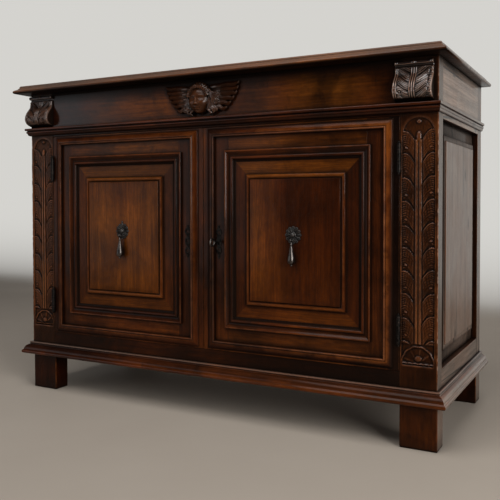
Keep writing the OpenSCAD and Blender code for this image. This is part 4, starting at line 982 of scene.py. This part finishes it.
def make_drop(side):
    """A pear-shaped pull with a small knob below, hung from its eye."""
    node = side + "_door_drop"
    lo, hi = box(node)
    cx = (lo.x + hi.x) / 2
    cy = (lo.y + hi.y) / 2
    bm = bmesh.new()
    pear = spline([(0.5, 446.2), (1.9, 446.8), (2.6, 448.4), (2.1, 450), (1.8, 451), (3.8, 451.8),
                   (6.9, 453.8), (9.0, 457.5), (9.8, 462), (9.5, 467), (8.4, 473), (7.0, 479), (5.7, 485),
                   (4.6, 491), (3.7, 497), (3.1, 501)], 60)
    neck = [(3.3, 502.4), (4.1, 503.8), (3.9, 505.2), (2.8, 506.2), (2.3, 508.4), (2.0, 511.2), (1.2, 512)]
    lathe(bm, [*pear, *neck], (cx, cy, 0), "z", 48)
    eye = 3.7
    wire = 1.6
    rings = []
    for a in np.linspace(0, 2 * pi, 28, endpoint=False):
        ring = []
        for b in np.linspace(0, 2 * pi, 12, endpoint=False):
            r = eye + wire * sin(b)
            ring.append(point(bm, cx + wire * cos(b), cy + r * cos(a), PIVOT_Z + r * sin(a)))
        rings.append(ring)
    join_rings(bm, rings + rings[:1], caps=False)
    add(to_mesh(bm, node + "_mesh"), node, shade=60)


def plate(node, outer, holes, thick=1.5, edge=0.3):
    """A pierced iron plate from closed outlines of (x, z) points, counted from its middle."""
    lo, hi = box(node)
    middle = (lo + hi) / 2
    curve = bpy.data.curves.new(node + "_outline", "CURVE")
    curve.dimensions = "2D"
    curve.fill_mode = "BOTH"
    curve.extrude = (thick / 2 - edge) * MM
    curve.bevel_depth = edge * MM
    curve.bevel_resolution = 1
    curve.offset = -edge * MM
    for ring in (outer, *holes):
        line = curve.splines.new("POLY")
        line.points.add(len(ring) - 1)
        for p, (x, z) in zip(line.points, ring):
            p.co = (x * MM, z * MM, 0, 1)
        line.use_cyclic_u = True
    bm = bmesh.new()
    bm.from_mesh(bake(bpy.data.objects.new(node + "_flat", curve)))
    bmesh.ops.remove_doubles(bm, verts=bm.verts, dist=1e-6)
    for v in bm.verts:
        x, z, out = v.co
        v.co = (middle.x * MM + x, (hi.y - thick / 2) * MM - out, middle.z * MM + z)
    mesh = to_mesh(bm, node + "_mesh")
    depth = coords(mesh)[:, 1] / MM - (hi.y - thick)
    store(mesh, "wear_and_highlight", 0.5 * ((depth > 0.05) & (depth < 0.45)))
    add(mesh, node, shade=35)


def oval(cz, rx, rz, n=28):
    return [(rx * cos(a), cz + rz * sin(a)) for a in np.linspace(0, 2 * pi, n, endpoint=False)]


def mirror_outline(right):
    """Closes an outline given from top to bottom on the right by its mirror image."""
    smooth = [tuple(p) for p in spline(right, 90)]
    return smooth + [(-x, z) for x, z in smooth[-2:0:-1]]


def make_escutcheons():
    outline = [(0.0, 47.3), (2.6, 46), (3.4, 42.5), (2.2, 39.5), (5.6, 36.5), (8.6, 31.5), (9.6, 26),
               (7.4, 21.5), (4.6, 18.5), (6.6, 14.5), (8.2, 9.5), (9.6, 4), (9.2, -3), (7.2, -9), (5.2, -13),
               (7.6, -17), (9.0, -22.5), (8.0, -28), (4.8, -32), (2.4, -35.5), (3.4, -39.5), (2.8, -44),
               (0.0, -47.3)]
    key_slot = [(3.4 * cos(a), 3.4 * sin(a)) for a in np.linspace(-0.98, pi + 0.98, 22)]
    key_slot += [(-1.9, -9.6), (1.9, -9.6)]
    plate("right_door_escutcheon", mirror_outline(outline),
          [oval(27.5, 4.4, 4.8), key_slot, oval(-23, 3.2, 4.4), oval(13.6, 1.7, 1.9, 14),
           oval(42.6, 1.2, 1.4, 12)])
    upper = [(0.0, 47.3), (2.2, 45.5), (2.8, 42), (4.8, 38.5), (8.8, 33.5), (9.6, 27), (7.6, 21.5), (3.6, 18),
             (3.4, 13.5), (7.4, 9.5), (9.0, 3)]
    plate("left_door_escutcheon", mirror_outline(upper + [(x, -z) for x, z in upper[::-1]]),
          [oval(28, 5.4, 5.8), oval(-28, 5.4, 5.8), oval(0, 4.2, 5.6), oval(13.6, 1.2, 1.6, 12),
           oval(-13.6, 1.2, 1.6, 12)])


# Boards and mouldings

BACK_BOARD = 184.29
# The strips of the outer moulding of the right door: one beyond this x beside the hinge, one below this x
# beside the other door, and one below this z at the foot.
HINGE_STRIP = 548.0
MEETING_STRIP = 45.0
LOWER_STRIP = 222.0


def rise(y0, y1, most):
    """Grows from y0 to y1 in front of the face: used for wear and painted highlights on the crests of
    mouldings, and for dirt and painted shade in their hollows.
    """
    return lambda x, y, z: most * step(y0, y1, y)


def ring_panel(name, lo, hi, profile, sub=14, rough=0.12):
    """A panel of nested rectangles from rows of inset, y and a darkening that is dirt and painted shade; a row
    whose darkening is under 0 stays exact.
    """
    rng = random.Random(name)
    bm = bmesh.new()
    rings = []
    dirt = []
    for inset, y, grime_and_shade in profile:
        x0 = lo.x + inset
        x1 = hi.x - inset
        z0 = lo.z + inset
        z1 = hi.z - inset
        corners = [(x0, z0), (x1, z0), (x1, z1), (x0, z1)]
        walk = [(a + (c - a) * k / sub, b + (d - b) * k / sub)
                for (a, b), (c, d) in zip(corners, corners[1:] + corners[:1]) for k in range(sub)]
        rings.append([point(bm, x, y + rng.uniform(-rough, rough) * (grime_and_shade >= 0), z) for x, z in walk])
        dirt += [max(grime_and_shade, 0)] * len(walk)
    join_rings(bm, rings)
    mesh = to_mesh(bm, name)
    store(mesh, "dirt", dirt)
    return mesh


def panel_profile(e, base, top):
    """Rows from the back of the panel, over its margin and the bead at inset e, to its raised field."""
    rows = [(9.6, -210.5, -1), (9.6, -213.6, -1), (0, -213.7, -1), (0, -221.4, -1), (9.6, -221.5, -1),
            (9.6, base, -1), (28, base, 0.5), (36, base, 0.2), (e - 8, base, 0.2), (e - 1.2, base, 0.6)]
    rows += [(e, base - 0.4, 0.6), (e + 0.7, base - 4.0, 0.3), (e + 2.0, base - 6.2, 0),
             (e + 4.4, base - 7.5, 0), (e + 7, base - 7.7, 0), (e + 10, base - 6.8, 0.1),
             (e + 12.4, base - 5.2, 0.7), (e + 13.6, base - 5.0, 0.75)]
    rows += [(e + 14.4, top + 1.4, 0.4), (e + 15.4, top + 0.3, 0.1), (e + 17, top, 0.2)]
    return rows + [(e + d, top, 0.02) for d in (30, 50, 70, 90, 110, 130, 143)]


def panel_tone(side, u, v):
    """The patina of the field; u and v grow from 0 to 1 across and up."""
    spot = lambda cu, cv, r: np.exp(-((u - cu) ** 2 + (0.8 * (v - cv)) ** 2) / r ** 2)
    if side == "left":
        # The left field is lighter all over: painted light falling from the left.
        return 0.42 + 0.2 * spot(0.6, 0.5, 0.3) - 0.25 * spot(0.5, 0.78, 0.15)
    dark = 0.62 * step(0.3, 0.56, u + 0.15 * v) * (0.8 + 0.2 * spot(0.6, 0.7, 0.3))
    light = 0.4 * spot(0.24, 0.64, 0.14) + 0.35 * spot(0.3, 0.28, 0.16) - 0.05 * spot(0.45, 0.8, 0.16)
    return 0.05 - dark + light


def mitre_margin(mesh, side, lo, hi, width):
    """Each piece of the margin gets its own tone, and the upper and lower ones grain that runs across."""
    corner = read(mesh.loops, "vertex_index", kind=np.int32)
    grain = read(mesh.attributes["grain"].data, "vector", 3)[corner]
    tone = attribute(mesh, "tone")[corner]
    place = coords(mesh)[corner]
    # The left margin is lighter too, with the same painted light.
    tint = 0.0 if side == "right" else 0.35
    for face in mesh.polygons:
        x, _, z = np.array(face.center) / MM
        from_side = min(x - lo.x, hi.x - x)
        from_end = min(z - lo.z, hi.z - z)
        if min(from_side, from_end) >= width:
            continue
        k = list(face.loop_indices)
        if from_end < from_side:
            tone[k] = tint + (0.5 if z > (lo.z + hi.z) / 2 else 0.1)
            grain[k] = place[k][:, [0, 2, 1]] + (3.7, 0, 0.31)
        else:
            tone[k] = tint - 0.35 - 0.2 * (x > 300)
    for name, values, kind in (("grain", grain, "FLOAT_VECTOR"), ("tone", tone, "FLOAT")):
        mesh.attributes.remove(mesh.attributes[name])
        store(mesh, name, values, kind, "CORNER")


def make_door_panel(side):
    """A panel with a mitred margin round a beaded field; the patina is darker towards one corner."""
    node = side + "_door_panel"
    lo, hi = box(node)
    bead = 66.8
    base = -229.5
    mesh = ring_panel(node + "_mesh", lo, hi, panel_profile(bead, base, top=-238.5))
    x, y, z = coords(mesh).T / MM
    tone = panel_tone(side, (x - lo.x) / (hi.x - lo.x), (z - lo.z) / (hi.z - lo.z))
    set_grain(mesh, node, 2, tone=tone, spread=0)
    mitre_margin(mesh, side, lo, hi, bead + 12)
    store(mesh, "wear_and_highlight", 0.5 * (abs(y - (base - 7.6)) < 0.35))
    add(mesh, node, shade=30)


def slicer(xs=(), zs=()):
    """Cuts across a board, so that its tone and its dirt can change over it."""
    def cut(bm):
        for x in xs:
            bisect(bm, (x, 0, 0), (1, 0, 0), dist=1e-6)
        for z in zs:
            bisect(bm, (0, 0, z), (0, 0, 1), dist=1e-6)
    return cut


def close_up(bm):
    """Brings the back boards up to each other, so that only a groove is left between them."""
    outer_ends = 600
    half_groove = 0.04
    for v in bm.verts:
        x = v.co.x / MM
        if abs(x) < outer_ends:
            seam = (round(x / BACK_BOARD + 0.5) - 0.5) * BACK_BOARD
            v.co.x = (seam + copysign(half_groove, x - seam)) * MM


def top_seams(bm):
    """Narrow grooves where the planks of the top meet."""
    groove = 0.9
    for y in (-95.0, 118.0):
        for d in (-groove, 0.0, groove):
            bisect(bm, (0, y + d, 0), (0, 1, 0), dist=1e-6)
        for v in bm.verts:
            if abs(v.co.y / MM - y) < 0.1 and v.co.z > 999.5 * MM:
                v.co.z -= groove * MM


def make_top():
    nosing = lambda y: np.where(y < -266, 1.0, 0.0)
    # Under the nosing a painted shadow, and along the nosing's upper round a pale painted highlight.
    dress("top_board", 1.0, 20, cut=top_seams, tone=0.3,
          dirt=lambda x, y, z: 0.95 * nosing(y) * step(980.7, 976, z),
          chip=lambda x, y, z: 0.35 * nosing(y) * step(981, 983, z))


def make_carcass_side(side):
    make_post(side)
    make_corbel(side)
    # The side frieze gets a high tone, which makes the pale side, partly a painted reflection, lighter still.
    dress("frieze_" + side, tone=0.9)
    dress("side_rail_" + side)
    for foot in ("foot_front_", "foot_rear_"):
        dress(foot + side, 3.0, tone=-0.5,
              chip=lambda x, y, z: 0.3 * (abs(x) > abs(x).max() - 0.3))
    # On the recessed panel a painted shade: light low down, stronger above z 300 and strongest beside the
    # front post.
    field = lambda y, z: np.maximum(0.1 + 0.4 * (z > 300), 0.9 * (y < -150))
    dress("side_panel_" + side, tone=0.12, dirt=lambda x, y, z: np.where(abs(x) < 678, field(y, z), 0.0))
    dress("rear_post_" + side, 1.4, slot="walnut_frame")
    dress("waist_moulding_" + side, 0.7, 20)
    # The side base moulding is made paler all over, a painted reflection, and glossier.
    dress("base_moulding_" + side, 1.0, 20, tone=0.1, chip=0.16, sheen=0.2)


def make_outer_moulding(side):
    """The frame round the door panel; the strip beside the right hinge gets a light tone and full wear colour,
    painted light falling on it from the right.
    """
    right = side == "right"
    at_hinge = lambda x: x > HINGE_STRIP
    dark = lambda x, z: (x < MEETING_STRIP) | (z < LOWER_STRIP)

    # Beside the hinge a light tone, a painted pool of light from the right; beside the other door and at the
    # foot a dark one.
    def tone(x, y, z):
        if right:
            return np.where(at_hinge(x) & (z > 300), 0.6, np.where(dark(x, z), -0.75, -0.2))
        return np.where(x < -540, -0.4, -0.1)

    def wear_and_highlight(x, y, z):
        most = np.where(at_hinge(x), 1.0, np.where(right & dark(x, z), 0.2, 0.45))
        return most * step(-237, -242, y)

    # Dirt and painted shade in the hollows, stronger beside the hinge.
    def dirt(x, y, z):
        return np.where(at_hinge(x), 0.95 * step(-240, -233.5, y), 0.85 * step(-237, -232.6, y))

    # A faint pale painted highlight runs along the crest.
    dress(side + "_door_outer_moulding", 0.8, 15, tone=tone, wear_and_highlight=wear_and_highlight, dirt=dirt,
          chip=rise(-240.8, -242, 0.08), sheen=-0.08)


def make_door(side):
    edge = 0.6 if side == "right" else 0.2
    make_rosette(side)
    dress(side + "_door_hinge_stile", 0.8, 8, cut=slicer((556, 562, -556, -562)),
          tone=lambda x, y, z: -0.2 - edge * (abs(x) > 560))
    dress(side + "_door_meeting_stile", 0.8, 8, tone=-0.2)
    dress(side + "_door_rails", 0.4, 8, tone=lambda x, y, z: np.where(z > 700, 0.4, -0.05))
    make_door_panel(side)
    make_outer_moulding(side)
    # Wear with painted highlights on the crests, dirt and painted shade in the hollows.
    dress(side + "_door_inner_moulding", 0.7, 15, wear_and_highlight=rise(-239.7, -241, 0.5), dirt=rise(-239, -231, 0.95),
          tone=-0.15)
    dress(side + "_door_hinge_leaves", 0.2, 3)
    make_drop(side)


def make_front_boards():
    to_right = lambda x: step(-200, 300, x)
    dress("front_bottom_rail", 1.0, cut=slicer(range(-480, 481, 120)),
          tone=lambda x, y, z: -0.5 - 0.35 * to_right(x), dirt=lambda x, y, z: 0.35 + 0.5 * to_right(x))
    # Along the top a painted shadow under the top board, near the left corbel a darker tone as its painted
    # shadow, a lighter golden patch to the right and a darker lower edge.
    dress("frieze_front", 1.0, cut=slicer(range(-560, 561, 80), (848, 930, 952, 964)),
          tone=lambda x, y, z: 0.05 + 0.65 * bell(x, 380, 130) - 0.65 * bell(x, -560, 160),
          dirt=lambda x, y, z: 0.95 * step(928, 972, z) + 0.5 * step(846, 832, z),
          sheen=lambda x, y, z: 0.35 * step(-150, -560, x))
    # Dirt and painted shade towards the back of its profile.
    dress("waist_moulding_front", 0.7, 20, tone=-0.3, dirt=rise(-247, -240, 0.6), sheen=0.14)
    # The lower bead is lighter, a painted highlight; the cove above it gets painted shade, and a pale painted
    # highlight runs along the top.
    dress("base_moulding_front", 1.6, 20, tone=lambda x, y, z: 0.5 * step(131, 122, z) - 0.1,
          dirt=lambda x, y, z: 0.35 * step(131, 135, z) * step(147, 143, z),
          chip=lambda x, y, z: 0.35 * step(148, 150, z))


def make_inside_and_back():
    for node in ("rear_rails", "bottom_board", "shelf", "shelf_cleats"):
        dress(node)
    dress("back_boards", cut=close_up)


def make_small_irons():
    for node in ("post_hinge_leaves", "hinge_pins", "left_door_slide_bolt", "left_door_bolt_staples",
                 "lock_case", "lock_bolt", "key"):
        dress(node, 0.25, 3)


make_top()
for side_name in ("left", "right"):
    make_carcass_side(side_name)
    make_door(side_name)
make_front_boards()
make_inside_and_back()
make_small_irons()
make_cherub()
make_escutcheons()


# Floor, light and camera

def floor_material():
    """Pale ground; towards the backdrop it glows white where the camera sees it, also by reflection."""
    s = Shader("floor")
    here = s.here()
    ray = lambda kind: s.make("ShaderNodeLightPath", kind)
    seen = s.math("MAXIMUM", ray("Is Camera Ray"), ray("Is Glossy Ray"))
    seen = s.math("MAXIMUM", seen, ray("Is Transmission Ray"))
    back = s.remap(s.make("ShaderNodeSeparateXYZ", "Y", {0: here}), 1.7, 3.3)
    colour = s.mix(s.noise(here, 3), (0.352, 0.300, 0.247), (0.39, 0.336, 0.279))
    s.finish(Base_Color=colour, Roughness=0.7)
    glow = s.make("ShaderNodeEmission", 0, {"Color": (0.66, 0.65, 0.62), "Strength": 1.0})
    both = s.make("ShaderNodeMixShader", 0, {0: back * seen, 1: Wire(s, s.bsdf.outputs[0]), 2: glow})
    s.put(both, s.tree.nodes["Material Output"].inputs["Surface"])
    return s.mat


def make_floor():
    """A pale floor that curves up into a backdrop behind the piece; from here on sizes are in metres."""
    bend = 1.1
    start = 2.3
    wide = 8.0
    line = [(y, 0.0) for y in np.linspace(-7, start, 12)]
    for a in np.linspace(0.06, pi / 2, 24):
        line.append((start + bend * sin(a), bend - bend * cos(a)))
    line += [(start + bend, 2.5), (start + bend, 5.0)]
    verts = [(x, y, z) for y, z in line for x in (-wide, wide)]
    faces = [(2 * i, 2 * i + 1, 2 * i + 3, 2 * i + 2) for i in range(len(line) - 1)]
    mesh = bpy.data.meshes.new("floor")
    mesh.from_pydata(verts, [], faces)
    mesh.shade_smooth()
    mesh.materials.append(floor_material())
    obj = link(bpy.data.objects.new("floor", mesh))


def make_lamp(name, place, target, size, power, colour=(1, 1, 1)):
    data = bpy.data.lights.new(name, "AREA")
    data.shape = "RECTANGLE"
    data.size, data.size_y = size
    data.energy = power
    data.color = colour
    obj = link(bpy.data.objects.new(name, data))
    obj.location = place
    obj.rotation_euler = (Vector(target) - Vector(place)).to_track_quat("-Z", "Y").to_euler()


def make_world():
    world = bpy.data.worlds.new("world")
    world.use_nodes = True
    world.node_tree.nodes["Background"].inputs["Color"].default_value = (0.075, 0.075, 0.08, 1)
    bpy.context.scene.world = world


def make_camera():
    """The photo's camera, as solved from the corners and edges of the sideboard in it."""
    data = bpy.data.cameras.new("camera")
    data.sensor_width = 36
    data.lens = 48.45
    data.shift_x = -0.0855
    data.shift_y = -0.0598
    camera = link(bpy.data.objects.new("camera", data))
    camera.location = (1.1018, -1.8535, 0.6148)
    camera.rotation_euler = (radians(88.585), 0, radians(26.63))
    bpy.context.scene.camera = camera
    bpy.context.scene.view_settings.view_transform = "Standard"


make_floor()
make_lamp("window", (3.3, -2.0, 1.5), (0, 0, 0.5), (1.5, 2.0), 105)
make_lamp("far_window", (-3.2, -3.2, 1.0), (0, 0, 0.5), (3.4, 2.2), 28, (0.9, 0.95, 1.0))
make_lamp("ceiling", (0.2, -1.5, 3.3), (0, -0.2, 0), (3.0, 2.2), 78)
make_world()
make_camera()
